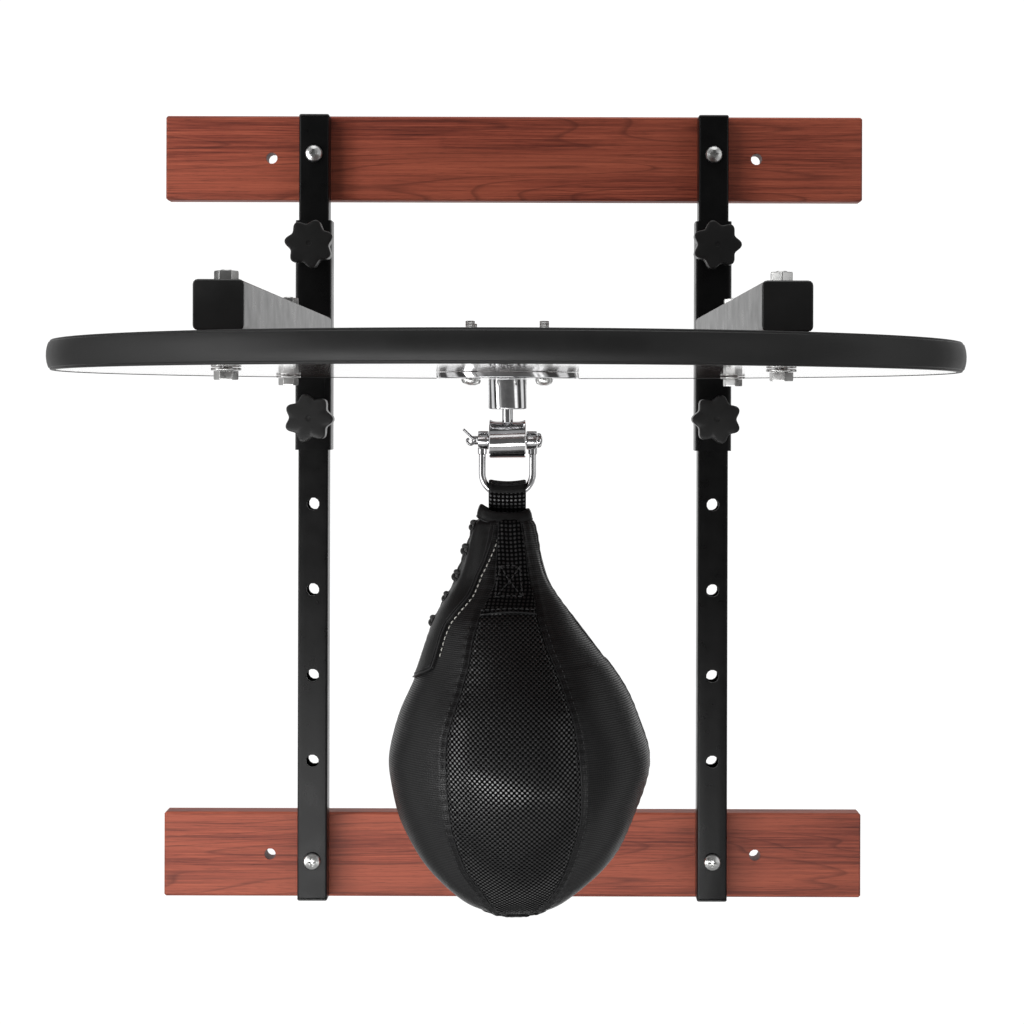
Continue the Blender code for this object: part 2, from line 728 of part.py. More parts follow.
def make_carriage(finish):
    carriage = axis("carriage_axis", (0, UPRIGHT_Y, SLEEVE_TOP))
    for side in SIDES:
        make_sleeve(carriage, side, finish["black_paint"])
        make_arm(carriage, side, finish["black_paint"])
        make_arm_cap(carriage, side, finish["black_plastic"])
        for level in KNOB_HOLES:
            make_knob(carriage, level, side, finish["black_plastic"])
    make_board(carriage, finish["board_wood"], finish["rubber"])
    for place, (x, y) in bolt_places().items():
        make_platform_fastener(carriage, place, x, y, finish["zinc"])
    make_swivel_mount(carriage, finish["chrome"], finish["zinc"])
    return carriage


# Swivel and shackle


def cotter_route():
    """Both legs pass through the pivot bolt side by side and bend out in front of it."""
    x, half = COTTER_X, COTTER_RADIUS + GAP / 2
    upper_leg = [(-0.0297, -0.0048, 0.0074), (-0.0258, -0.0046, 0.0038)]
    upper_leg.append((-0.0228, -0.0042, 0.0012))
    eye = [(x, 0.0050, 0.0015), (x, 0.0068, 0.0013), (x, 0.0076, 0.0)]
    eye += [(px, py, -pz) for px, py, pz in reversed(eye[:-1])]
    curl = [(-0.0232, -0.0042, -0.0020), (-0.0250, -0.0046, -0.0026), (-0.0268, -0.0048, -0.0014)]
    curl += [(-0.0271, -0.0048, 0.0002), (-0.0260, -0.0048, 0.0010)]
    passing = [(x, -0.0034, half), (x, 0.0036, half)]
    back = [(px, py, -pz) for px, py, pz in reversed(passing)]
    return smooth([*upper_leg, *passing, *eye, *back, *curl], 2)


def make_swivel(carriage, finish):
    swivel = axis("swivel_axis", (0, BOARD_Y, HOUSING_BOTTOM), carriage)
    barrel_top = PIVOT_Z + BARREL_RADIUS
    head_radius, head = SPINDLE_HEAD
    head_bottom = HOUSING_BOTTOM + HOUSING_FLOOR + GAP
    profile = [
        (0, head_bottom + head),
        (head_radius, head_bottom + head),
        (head_radius, head_bottom),
        (SPINDLE_RADIUS, head_bottom),
        (SPINDLE_RADIUS, barrel_top - SPINDLE_SOCKET + GAP),
        (0, barrel_top - SPINDLE_SOCKET + GAP),
    ]
    on(swivel, "swivel_spindle", turned(profile, 20), finish["chrome"], (0, BOARD_Y, 0))

    half = BARREL_HALF_LENGTH
    profile = ring_profile(PIVOT_HOLE_RADIUS, BARREL_RADIUS, -half, half, FINE_EDGE)
    barrel = on(
        swivel,
        "swivel_barrel",
        turned(profile, 28, looped=True),
        finish["chrome"],
        (0, BOARD_Y, PIVOT_Z),
        ALONG_X,
    )
    # On its side, the barrel's own -X is world +Z.
    start = (-BARREL_RADIUS - PAST, 0, 0)
    shape(barrel, rods([start], (PAST + SPINDLE_SOCKET, 0, 0), SPINDLE_RADIUS + GAP))

    seat = EYE_OUTER_X + GAP
    bolt = on(
        swivel,
        "pivot_bolt",
        pan_screw(PIVOT_HEAD, PIVOT_RADIUS, seat - PIVOT_END),
        finish["chrome"],
        (seat, BOARD_Y, PIVOT_Z),
        (0, -math.pi / 2, 0),
    )
    # The bolt's own Z is world -X.
    reach = PIVOT_RADIUS + PAST
    hole = (0, -reach, seat - COTTER_X)
    shape(bolt, rods([hole], (0, 2 * reach, 0), COTTER_HOLE_RADIUS, 12))
    wire = swept(cotter_route(), COTTER_RADIUS, 6)
    on(swivel, "cotter_pin", wire, finish["chrome"], (0, BOARD_Y, PIVOT_Z))
    return swivel


def shackle_route():
    """From one eye down, round the bend and up to the other eye, about the pivot."""
    middle_x = WIRE_X - WIRE_BEND
    bend_z = WIRE_BOTTOM - PIVOT_Z + WIRE_BEND
    right = [(WIRE_X, 0, -0.0040), (WIRE_X, 0, bend_z / 2)]
    for step in range(7):
        angle = math.pi / 2 * step / 6
        x = middle_x + WIRE_BEND * math.cos(angle)
        right.append((x, 0, bend_z - WIRE_BEND * math.sin(angle)))
    return right + [(-x, y, z) for x, y, z in reversed(right)]


def make_shackle(swivel, chrome):
    shackle = axis("shackle_axis", (0, BOARD_Y, PIVOT_Z), swivel)
    body = swept(shackle_route(), WIRE_RADIUS, 10)
    ring = on(shackle, "shackle", body, chrome, (0, BOARD_Y, PIVOT_Z))
    length = EYE_OUTER_X - EYE_INNER_X
    for start in (EYE_INNER_X, -EYE_OUTER_X):
        shape(ring, rods([(start, 0, 0)], (length, 0, 0), EYE_RADIUS, 20), "UNION")
    reach = EYE_OUTER_X + PAST
    shape(ring, rods([(-reach, 0, 0)], (2 * reach, 0, 0), PIVOT_HOLE_RADIUS))
    return shackle


# Bag


def strap_outline(half, join_half):
    """Half an arch over the shackle that runs together at the neck, mirrored."""
    side = []
    for step in range(6):
        angle = math.pi / 2 * step / 5
        side.append((half * math.cos(angle), STRAP_ARCH_Z + half * math.sin(angle)))
    low = (join_half, STRAP_JOIN_Z)
    return [low, *side, *[(-y, z) for y, z in reversed(side[:-1])], (-join_half, STRAP_JOIN_Z)]


def extrude_across(outline, half_width):
    return skin([[Vector((x, y, z)) for y, z in outline] for x in (-half_width, half_width)])


def make_strap(bag, leather):
    tail = STRAP_THICKNESS + GAP
    outer = strap_outline(STRAP_ARCH + STRAP_THICKNESS, tail)
    outer = [(tail, STRAP_END_Z), *outer, (-tail, STRAP_END_Z)]
    body = extrude_across(outer, STRAP_HALF_WIDTH)
    strap = on(bag, "bag_strap", body, leather, (0, BOARD_Y, 0))
    hole = strap_outline(STRAP_ARCH, STRAP_SLIT)
    shape(strap, extrude_across(hole, STRAP_HALF_WIDTH + PAST))


def oval(half_width, z, lean, sides):
    """A ring of the bag: flattened and squarish at the neck, round from the shoulder down."""
    neck = min(max((z + 0.350) / 0.060, 0), 1)
    power = 2 / (2 + 1.2 * neck)
    ring = []
    for i in range(sides):
        angle = 2 * math.pi * i / sides
        c, s = math.cos(angle), math.sin(angle)
        x = math.copysign(abs(c) ** power, c) * half_width
        y = math.copysign(abs(s) ** power, s) * half_width * (1 - 0.30 * neck)
        ring.append(Vector((lean + x, y, z)))
    return ring


def shell(outline, wall, sides):
    """A closed skin with a mouth at the top: its outside, its inside and the rim between."""
    outside = [oval(half_width, z, lean, sides) for z, half_width, lean in outline[:-1]]
    inside = [oval(half_width - wall, z, lean, sides) for z, half_width, lean in outline[:-2]]
    # Where the skin turns under the bag, its thickness is more upward than inward.
    turn_z = outline[-4][0]
    for ring in inside:
        for point in ring:
            if point.z < turn_z:
                point.z += 0.6 * wall
    z, _, lean = outline[-1]
    lowest, inner_lowest = Vector((lean, 0, z)), Vector((lean, 0, z + wall))
    return skin([[lowest], *reversed(outside), *inside, [inner_lowest]])


def make_collar(bag, leather):
    top, bottom = COLLAR_Z
    neck_z, width, lean = BAG_OUTLINE[0]
    outer = width + GAP + COLLAR_THICKNESS
    sizes = [(outer - 0.0004, top), (outer, top - 0.0012), (outer, bottom)]
    sizes += [(width + GAP, bottom), (width + GAP, top)]
    rings = [oval(half_width, neck_z, lean, 24) for half_width, _ in sizes]
    for ring, (_, z) in zip(rings, sizes):
        for point in ring:
            point.z = z
    on(bag, "bag_collar", skin(rings, looped=True), leather, (0, BOARD_Y, 0))


def bag_surface(z, angle, out):
    """The point on the bag's side at this height and angle, moved outward."""
    curve = smooth(BAG_OUTLINE, 8)
    above, below = next((a, b) for a, b in zip(curve, curve[1:]) if a[0] >= z > b[0])
    t = (above[0] - z) / (above[0] - below[0])
    _, width, lean = above.lerp(below, t)
    point = oval(1, z, 0, 360)[round(math.degrees(angle)) % 360]
    side = Vector((point.x * width + lean, point.y * width, z))
    return side + out * Vector((point.x, point.y, 0)).normalized()


def make_lace(bag, cord):
    """A lace that crosses from side to side down the seam at the bag's left."""
    points = []
    for i in range(LACE_CROSSINGS):
        z = LACE_TOP + (LACE_BOTTOM - LACE_TOP) * i / (LACE_CROSSINGS - 1)
        swing = LACE_SWING if i % 2 else -LACE_SWING
        points.append(bag_surface(z, LACE_ANGLE + swing, LACE_RADIUS + LACE_LIFT))
    body = swept(smooth(points, 3), LACE_RADIUS, 6)
    on(bag, "bag_lace", body, cord, (0, BOARD_Y, 0))


def make_bag(shackle, finish):
    bag = axis("bag_axis", (0, BOARD_Y, WIRE_BOTTOM), shackle)
    make_strap(bag, finish["woven_leather"])
    make_collar(bag, finish["smooth_leather"])
    cover = shell(BAG_OUTLINE, LEATHER, 18)
    on(bag, "bag_cover", cover, finish["woven_leather"], (0, BOARD_Y, 0))
    bladder = shell(BLADDER_OUTLINE, BLADDER_WALL, 14)
    on(bag, "bag_bladder", bladder, finish["bladder_rubber"], (0, BOARD_Y, 0))
    make_lace(bag, finish["lace_cord"])


def make_finishes():
    return {
        "rail_wood": material("rail_wood", (0.26, 0.07, 0.035), 0.45),
        "board_wood": material("board_wood", (0.30, 0.09, 0.05), 0.15),
        "black_paint": material("black_paint", (0.015, 0.015, 0.015), 0.25),
        "black_plastic": material("black_plastic", (0.015, 0.015, 0.015), 0.5),
        "rubber": material("rubber", (0.02, 0.02, 0.02), 0.55),
        "zinc": material("zinc", (0.75, 0.75, 0.76), 0.3, 1.0),
        "chrome": material("chrome", (0.85, 0.85, 0.86), 0.08, 1.0),
        "woven_leather": material("woven_leather", (0.012, 0.012, 0.013), 0.4),
        "smooth_leather": material("smooth_leather", (0.012, 0.012, 0.013), 0.5),
        "bladder_rubber": material("bladder_rubber", (0.35, 0.24, 0.12), 0.6),
        "lace_cord": material("lace_cord", (0.01, 0.01, 0.01), 0.8),
    }


def main():
    clear_scene()
    finish = make_finishes()
    make_frame(finish)
    carriage = make_carriage(finish)
    swivel = make_swivel(carriage, finish)
    shackle = make_shackle(swivel, finish["chrome"])
    make_bag(shackle, finish)


main()
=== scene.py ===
"""The looks of the speed bag platform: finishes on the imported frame, and its stitched bag.

Metres, in the frame of the part: X to the right, Y into the wall and Z up, from the
middle of the top rail's back face.
"""

import math

import bmesh
import bpy
import numpy as np
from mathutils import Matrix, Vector


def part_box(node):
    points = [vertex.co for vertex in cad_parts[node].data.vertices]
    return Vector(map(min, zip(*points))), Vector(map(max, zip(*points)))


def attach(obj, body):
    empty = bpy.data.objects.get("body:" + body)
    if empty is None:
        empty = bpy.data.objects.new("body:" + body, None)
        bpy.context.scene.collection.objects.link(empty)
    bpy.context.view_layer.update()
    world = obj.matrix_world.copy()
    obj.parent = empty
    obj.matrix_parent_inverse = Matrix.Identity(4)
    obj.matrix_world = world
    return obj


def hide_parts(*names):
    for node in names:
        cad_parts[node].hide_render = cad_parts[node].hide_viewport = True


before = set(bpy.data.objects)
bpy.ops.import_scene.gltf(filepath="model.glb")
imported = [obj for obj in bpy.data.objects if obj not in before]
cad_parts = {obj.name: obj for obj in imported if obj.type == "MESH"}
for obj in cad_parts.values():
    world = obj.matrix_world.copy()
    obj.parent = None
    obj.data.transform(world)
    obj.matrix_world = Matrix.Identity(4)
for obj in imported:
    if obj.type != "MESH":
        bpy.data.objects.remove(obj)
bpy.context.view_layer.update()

CAMERA_PLACE = (0.0207, -1.7640, -0.2090)
CAMERA_ROLL = -0.0026
CAMERA_LENS = 72.77
CAMERA_SHIFT = (-0.0255, -0.1028)
FLOOR_Z = -2.0
FLOOR_RADIUS = 4.0
BOARD_Y = -0.3595
UPRIGHT_X = 0.1666
PIVOT_Z = -0.2319
SHARP_ANGLE = math.radians(32)
ALL_SMOOTH = math.pi
QUARTER = math.pi / 2
FULL_TURN = 2 * math.pi


def put(name, data, place=(0, 0, 0), turn=(0, 0, 0)):
    """Adds an object to the scene."""
    made = bpy.data.objects.new(name, data)
    made.location, made.rotation_euler = place, turn
    bpy.context.scene.collection.objects.link(made)
    return made


# ---------------------------------------------------------------- materials


class Nodes:
    """Nodes of one tree under construction."""

    def __init__(self, tree, prefix="ShaderNode"):
        self.tree, self.prefix = tree, prefix

    def feed(self, socket, value):
        if isinstance(value, bpy.types.NodeSocket):
            self.tree.links.new(value, socket)
        elif socket.type == "RGBA" and len(value) == 3:
            socket.default_value = (*value, 1)
        else:
            socket.default_value = value

    def node(self, kind, inputs=(), **settings):
        made = self.tree.nodes.new(self.prefix + kind)
        for name, value in settings.items():
            setattr(made, name, value)
        for key, value in dict(inputs).items():
            self.feed(made.inputs[key], value)
        return made

    def ramp(self, factor, *stops):
        ramp = self.node("ValToRGB", {"Fac": factor})
        points = ramp.color_ramp.elements
        while len(points) < len(stops):
            points.new(1)
        for point, (position, colour) in zip(points, stops):
            point.position = position
            colour = (colour,) * 3 if isinstance(colour, (int, float)) else colour
            point.color = (*colour, 1)
        return ramp.outputs["Color"]

    def math(self, operation, *values):
        return self.node("Math", enumerate(values), operation=operation).outputs[0]

    def mix(self, factor, first, second, blend="MIX"):
        inputs = {0: factor, 6: first, 7: second}
        return self.node("Mix", inputs, data_type="RGBA", blend_type=blend).outputs[2]

    def range(self, factor, low, high, start=0.0, end=1.0):
        inputs = {"Value": factor, "From Min": start, "From Max": end}
        inputs |= {"To Min": low, "To Max": high}
        return self.node("MapRange", inputs).outputs[0]


class Finish(Nodes):
    """A node material under construction."""

    def __init__(self, name, **surface):
        self.material = bpy.data.materials.new(name)
        self.material.use_nodes = True
        super().__init__(self.material.node_tree)
        self.surface = self.tree.nodes["Principled BSDF"]
        self.set(**surface)

    def set(self, **values):
        for name, value in values.items():
            self.feed(self.surface.inputs[name.replace("_", " ")], value)

    def place(self, stretch=(1, 1, 1), turn=(0, 0, 0), source="Object"):
        """Coordinates on the piece in metres, or along its weave."""
        where = self.node("TexCoord").outputs[source]
        inputs = {"Vector": where, "Scale": stretch, "Rotation": turn}
        return self.node("Mapping", inputs).outputs["Vector"]

    def noise(self, density, detail=4, roughness=0.5, distortion=0, stretch=(1, 1, 1)):
        inputs = {"Vector": self.place(stretch), "Scale": density, "Detail": detail}
        inputs |= {"Roughness": roughness, "Distortion": distortion}
        return self.node("TexNoise", inputs).outputs["Fac"]

    def bump(self, height, distance, strength=1.0):
        inputs = {"Height": height, "Distance": distance, "Strength": strength}
        normal = self.surface.inputs["Normal"]
        if normal.is_linked:
            inputs["Normal"] = normal.links[0].from_socket
        self.set(Normal=self.node("Bump", inputs).outputs["Normal"])


def wood(name, dark, middle, light, roughness, coat):
    """Stained timber with its grain along X: figure, fine streaks and pores."""
    finish = Finish(name, Coat_Weight=coat, Coat_Roughness=0.06, Specular_IOR_Level=0.35)
    figure = finish.noise(1, 1.5, 0.4, 0.25, stretch=(1.7, 8, 23))
    rings = finish.math("FRACT", finish.math("MULTIPLY", figure, 19))
    late_wood = finish.ramp(rings, (0, 0.1), (0.25, 0.0), (0.8, 0.08), (0.94, 1.0), (1.0, 0.1))
    streaks = finish.noise(1, 8, 0.72, 0.15, stretch=(9, 240, 640))
    pores = finish.noise(1, 2, 0.6, stretch=(70, 1100, 2100))
    patches = finish.noise(1, 2, 0.5, 0.4, stretch=(2.4, 14, 26))
    base = finish.ramp(streaks, (0.34, dark), (0.5, middle), (0.66, light))
    base = finish.mix(finish.range(patches, 0, 0.6, 0.42, 0.62), base, light)
    base = finish.mix(finish.range(late_wood, 0, 0.50), base, dark)
    pore_shade = finish.ramp(pores, (0.32, 0.35), (0.45, 1.0))
    base = finish.mix(0.5, base, finish.mix(1.0, base, pore_shade, "MULTIPLY"))
    finish.set(Base_Color=base, Roughness=finish.range(streaks, roughness, roughness + 0.16))
    finish.bump(streaks, 0.00012, 0.5)
    finish.bump(pores, 0.00008, 0.4)
    return finish.material


def black_paint(name):
    """Gloss powder coat: a faint orange peel, with fine dust and rubs."""
    finish = Finish(name, Specular_IOR_Level=0.18)
    rubs = finish.noise(55, 5, 0.6)
    dark, light = (0.0028, 0.0028, 0.0029), (0.0052, 0.0052, 0.0053)
    base = finish.ramp(rubs, (0.35, dark), (0.75, light))
    finish.set(Base_Color=base, Roughness=finish.range(rubs, 0.26, 0.35, 0.3, 0.8))
    finish.bump(finish.noise(420, 2), 0.00003, 0.4)
    return finish.material


def moulded(name, shade, roughness, grain):
    """Moulded black plastic or rubber with a fine spark-eroded grain."""
    finish = Finish(name, Specular_IOR_Level=0.36)
    cloud = finish.noise(38, 4, 0.6)
    low, high = shade
    base = finish.ramp(cloud, (0.3, low), (0.75, high))
    finish.set(Base_Color=base, Roughness=finish.range(cloud, roughness - 0.06, roughness + 0.08))
    finish.bump(finish.noise(grain, 2), 0.00006, 0.6)
    return finish.material


def metal(name, tint, smooth, rough, scratch):
    """Plated steel, with smudges in its gloss and fine scratches."""
    finish = Finish(name, Metallic=1.0)
    smudge = finish.noise(70, 5, 0.65)
    fine = finish.noise(1, 3, 0.6, stretch=(180, 180, 2600))
    worn = tuple(0.72 * c for c in tint)
    finish.set(Base_Color=finish.ramp(smudge, (0.25, worn), (0.6, tint)))
    finish.set(Roughness=finish.range(smudge, smooth, rough, 0.35, 0.75))
    finish.bump(fine, scratch, 0.5)
    return finish.material


def woven(name, pitch, shades, gloss, ribs=0.0, gap=0.0, checked=False):
    """Leather embossed with rows of dots, which are staggered where it is checked.

    With ribs the dots run together into lines, and gap is how much of their gloss and colour
    the grooves between keep; the rest of their colour is a painted shade, near black.
    """
    finish = Finish(name, IOR=1.5)
    turns = FULL_TURN / pitch
    wave, lowest, crown = ("SINE", -1, (-0.15, 0.45)) if checked else ("COSINE", 0, (0.12, 0.62))
    parts = finish.node("SeparateXYZ", {0: finish.place(source="UV")}).outputs
    across, along = (
        finish.range(finish.math(wave, finish.math("MULTIPLY", parts[axis], turns)), lowest, 1, -1)
        for axis in (0, 1)
    )
    cells = finish.mix(ribs, finish.math("MULTIPLY", across, along), along)
    height = finish.node("RGBToBW", {0: cells}).outputs[0]
    raised = finish.range(height, gap, 1, *crown)
    cloud = finish.noise(45, 4, 0.6)
    low, high = shades
    top = finish.ramp(cloud, (0.3, (low, low, 1.08 * low)), (0.75, (high, high, 1.08 * high)))
    # The grooves between the dots are painted near black: a painted shade in the recesses.
    base = finish.mix(raised, (0.0012, 0.0012, 0.0013), top)
    finish.set(Base_Color=base, Roughness=finish.range(raised, 0.8, 0.28))
    finish.set(Specular_IOR_Level=finish.range(raised, 0.03, gloss))
    finish.bump(raised, 0.0003, 0.6)
    finish.bump(finish.noise(2200, 2), 0.00003, 0.4)
    return finish.material


def smooth_leather(name, shade, roughness):
    """Pebbled black leather with creases."""
    finish = Finish(name, Specular_IOR_Level=0.24)
    cells = finish.node(
        "TexVoronoi", {"Vector": finish.place(), "Scale": 950}, feature="DISTANCE_TO_EDGE"
    ).outputs["Distance"]
    cloud = finish.noise(55, 4, 0.6)
    low, high = shade
    base = finish.ramp(cloud, (0.3, (low, low, low * 1.03)), (0.75, (high, high, high * 1.05)))
    finish.set(Base_Color=base, Roughness=finish.range(cloud, roughness - 0.05, roughness + 0.09))
    finish.bump(finish.range(cells, 0, 1, 0, 0.25), 0.00007, 0.6)
    finish.bump(finish.noise(1, 3, 0.6, stretch=(260, 260, 90)), 0.00012, 0.4)
    return finish.material


def thread(name, shade):
    """Twisted thread: fine slanted ridges across each strand, with a painted shade in the grooves
    between them.
    """
    finish = Finish(name, Sheen_Weight=0.2)
    turned = finish.place((1500, 1500, 1500), (0, 0.6, 0.5))
    inputs = {"Vector": turned, "Scale": 0.5, "Distortion": 1.5}
    wave = finish.node("TexWave", inputs).outputs["Fac"]
    # Darker in the grooves of the twist: a painted shade.
    dark = tuple(0.55 * c for c in shade)
    finish.set(Base_Color=finish.ramp(wave, (0.2, dark), (0.7, shade)), Roughness=0.62)
    finish.bump(wave, 0.00006, 0.7)
    return finish.material


FINISHES = {
    "rail_wood": (
        wood, (0.068, 0.013, 0.008), (0.235, 0.046, 0.025), (0.40, 0.095, 0.050), 0.46, 0.0
    ),
    "board_wood": (
        wood, (0.026, 0.010, 0.008), (0.060, 0.022, 0.016), (0.09, 0.036, 0.026), 0.16, 1.0
    ),
    "black_paint": (black_paint,),
    "black_plastic": (moulded, (0.0085, 0.0140), 0.34, 1500),
    "edge_rubber": (moulded, (0.0045, 0.0075), 0.46, 1100),
    "zinc_steel": (metal, (0.66, 0.66, 0.65), 0.22, 0.42, 0.00002),
    "chrome": (metal, (0.80, 0.80, 0.81), 0.05, 0.15, 0.000004),
    "pin_steel": (metal, (0.36, 0.36, 0.37), 0.12, 0.25, 0.00001),
    "bladder_rubber": (moulded, (0.06, 0.10), 0.55, 900),
    "woven_leather": (woven, 0.00285, (0.0028, 0.0055), 0.55),
    "checked_leather": (woven, 0.0034, (0.0026, 0.0052), 1.0, 0.0, 0.0, True),
    "ribbed_leather": (woven, 0.0015, (0.0022, 0.0045), 0.44, 0.4, 0.55),
    "smooth_leather": (smooth_leather, (0.0022, 0.0045), 0.40),
    # Welts and piping: the smooth leather painted several times lighter, a painted sheen that
    # stands in for their highlight lines.
    "welt_leather": (smooth_leather, (0.010, 0.018), 0.32),
    "lace_cord": (thread, (0.005, 0.005, 0.005)),
    "pale_thread": (thread, (0.55, 0.54, 0.50)),
    "dark_thread": (thread, (0.010, 0.010, 0.011)),
}  # fmt: skip
FINISHES = {name: make(name, *values) for name, (make, *values) in FINISHES.items()}


def smooth_by_angle():
    """A modifier group that shades smoothly except across sharp edges."""
    group = bpy.data.node_groups.new("smooth_by_angle", "GeometryNodeTree")
    for way in ("INPUT", "OUTPUT"):
        group.interface.new_socket("Geometry", in_out=way, socket_type="NodeSocketGeometry")
    parts = Nodes(group, "")
    angle = parts.node("GeometryNodeInputMeshEdgeAngle").outputs["Unsigned Angle"]
    flat = parts.node("FunctionNodeCompare", operation="LESS_THAN")
    parts.feed(flat.inputs[0], angle)
    parts.feed(flat.inputs[1], SHARP_ANGLE)
    shape = parts.node("NodeGroupInput").outputs[0]
    smooth = {"Geometry": shape, "Shade Smooth": flat.outputs[0]}
    shape = parts.node("GeometryNodeSetShadeSmooth", smooth, domain="EDGE").outputs[0]
    shape = parts.node("GeometryNodeSetShadeSmooth", {"Geometry": shape}).outputs[0]
    parts.node("NodeGroupOutput", {0: shape})
    return group


EASED_EDGES = {  # how far the sharp edges of each kind of part are eased
    0.0004: ("wall_rail", "arm"),
    0.00035: ("platform_bolt", "platform_nut"),
    0.0003: ("upright", "sleeve", "swivel_nut", "swivel_housing", "swivel_barrel"),
    0.0002: ("platform_washer", "swivel_plate"),
}


def soften_frame():
    """Joins each CAD node's split corners, eases its sharp edges and shades it smoothly."""
    group = smooth_by_angle()
    for name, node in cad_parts.items():
        weld = node.modifiers.new("weld", "WELD")
        weld.merge_threshold = 0.00001
        eased = next((size for size, kinds in EASED_EDGES.items() if name.startswith(kinds)), 0)
        if eased:
            bevel = node.modifiers.new("bevel", "BEVEL")
            bevel.width = eased
            bevel.segments = 2
            bevel.limit_method = "ANGLE"
            bevel.angle_limit = SHARP_ANGLE
            bevel.use_clamp_overlap = True
            bevel.miter_outer = "MITER_ARC"
        node.modifiers.new("shading", "NODES").node_group = group
        flat = node.modifiers.new("flat", "WEIGHTED_NORMAL")
        flat.keep_sharp = True
        flat.weight = 100


def finish_frame():
    """Gives each shown CAD node the finish of its material slot."""
    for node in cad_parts.values():
        for slot in node.material_slots:
            name = slot.material.name.split(".")[0]
            if name in FINISHES:
                slot.material = FINISHES[name]


# ----------------------------------------------------------- building pieces


def grid_faces(rows, columns, closed):
    """Quads between neighbouring rows of points; closed joins the last column to the first."""
    faces = []
    for r in range(rows - 1):
        for c in range(columns if closed else columns - 1):
            d = (c + 1) % columns
            corner = r * columns
            faces.append((corner + c, corner + d, corner + columns + d, corner + columns + c))
    return faces


class Shape:
    """Points and faces that become one mesh, with UVs and a mark that picks the finish."""

    def __init__(self):
        self.points, self.faces, self.uvs, self.marks = [], [], [], []

    def add(self, points, faces, uvs=None):
        start = len(self.points)
        self.points += [tuple(p) for p in points]
        self.faces += [tuple(start + i for i in face) for face in faces]
        self.uvs += uvs or [[(0, 0)] * len(face) for face in faces]
        self.marks += [0] * len(faces)

    def rings(self, rings, looped=False):
        """A closed skin through rings of equal length, with flat ends unless looped."""
        points = np.concatenate(rings)
        count, columns = len(points), len(rings[0])
        faces = grid_faces(len(rings) + looped, columns, True)
        if looped:
            faces = [tuple(i % count for i in face) for face in faces]
        else:
            faces += [tuple(reversed(range(columns))), tuple(range(count - columns, count))]
        self.add(points, faces)

    def slab(self, top, bottom, uv):
        """A closed layer between two grids of points."""
        rows, columns = top.shape[:2]
        count = rows * columns
        over = grid_faces(rows, columns, False)
        under = [tuple(count + i for i in reversed(face)) for face in over]
        order = np.arange(count).reshape(rows, columns)
        border = [order[:, 0], order[-1, 1:], order[-2::-1, -1], order[0, -2:0:-1]]
        loop = np.concatenate(border).tolist()
        sides = [(a, count + a, count + b, b) for a, b in zip(loop, loop[1:] + loop[:1])]
        flat = uv.reshape(-1, 2)
        faces = over + under + sides
        uvs = [[tuple(flat[i % count]) for i in face] for face in faces]
        self.add(np.concatenate([top.reshape(-1, 3), bottom.reshape(-1, 3)]), faces, uvs)

    def piece(self, name, body, slot, finishes, replaced=(), angle=SHARP_ANGLE):
        mesh = bpy.data.meshes.new(name)
        mesh.from_pydata(self.points, [], self.faces)
        layer = mesh.uv_layers.new(name="weave")
        layer.data.foreach_set("uv", [x for face in self.uvs for uv in face for x in uv])
        mesh.polygons.foreach_set("material_index", self.marks)
        finishes = [finishes] if isinstance(finishes, str) else finishes
        for finish in finishes:
            mesh.materials.append(FINISHES[finish])
        draft = bmesh.new()
        draft.from_mesh(mesh)
        bmesh.ops.recalc_face_normals(draft, faces=draft.faces)
        draft.to_mesh(mesh)
        draft.free()
        mesh.shade_smooth()
        mesh.set_sharp_from_angle(angle=angle)
        made = put(name, mesh)
        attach(made, body)
        if replaced:
            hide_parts(*replaced)
        return made


def smooth_curve(points, steps):
    """A Catmull-Rom curve through the points."""
    points = np.array(points, float)
    first, last = 2 * points[0] - points[1], 2 * points[-1] - points[-2]
    padded = np.vstack([first, points, last])
    t = np.linspace(0, 1, steps, endpoint=False)[:, None]
    spans = []
    for a, b, c, d in zip(padded, padded[1:], padded[2:], padded[3:]):
        cubic = 2 * b + (c - a) * t + (2 * a - 5 * b + 4 * c - d) * t**2
        spans.append(0.5 * (cubic + (3 * b - a - 3 * c + d) * t**3))
    return np.concatenate([*spans, points[-1:]])


def evenly(points, spacing):
    """The same route in equal steps, about as long as the spacing. Extra columns go along."""
    points = np.array(points, float)
    steps = np.linalg.norm(np.diff(points[:, :3], axis=0), axis=1)
    along = np.concatenate([[0], np.cumsum(steps)])
    places = np.linspace(0, along[-1], max(2, round(along[-1] / spacing) + 1))
    return np.stack([np.interp(places, along, points[:, k]) for k in range(points.shape[1])], 1)


def tube_rings(points, radii, sides, closed=False):
    """Round sections along a route, turned as little as possible from one to the next."""
    points = np.array(points, float)
    before, after = np.roll(points, 1, 0), np.roll(points, -1, 0)
    if not closed:
        before[0], after[-1] = points[0], points[-1]
    along = after - before
    along /= np.linalg.norm(along, axis=1)[:, None]
    across = np.cross(along[0], (0.13, 0.31, 0.94))  # any direction the routes don't take
    flat = circle(1, sides)
    rings = []
    for point, way, radius in zip(points, along, np.broadcast_to(radii, len(points))):
        across = across - across.dot(way) * way
        across /= np.linalg.norm(across)
        rings.append(point + radius * (flat @ np.stack([across, np.cross(way, across)])))
    return rings


def rounded_tube(shape, points, radius, sides=8):
    """A cord along the route with domed ends."""
    points = evenly(points, radius * 0.8)
    radii = np.full(len(points), radius)
    radii[[0, -1]] *= 0.45
    radii[[1, -2]] *= 0.88
    shape.rings(tube_rings(points, radii, sides))


def circle(radius, sides):
    angles = FULL_TURN * np.arange(sides) / sides
    return radius * np.stack([np.cos(angles), np.sin(angles)], 1)


def lathe(profile, sides, centre, axis):
    """Rings of (radius, height) about the axis through the centre."""
    others = [k for k in range(3) if k != axis]
    rings = []
    for radius, height in profile:
        ring = np.zeros((sides, 3))
        ring[:, others] = circle(radius, sides)
        ring[:, axis] = height
        rings.append(ring + np.array(centre))
    return rings


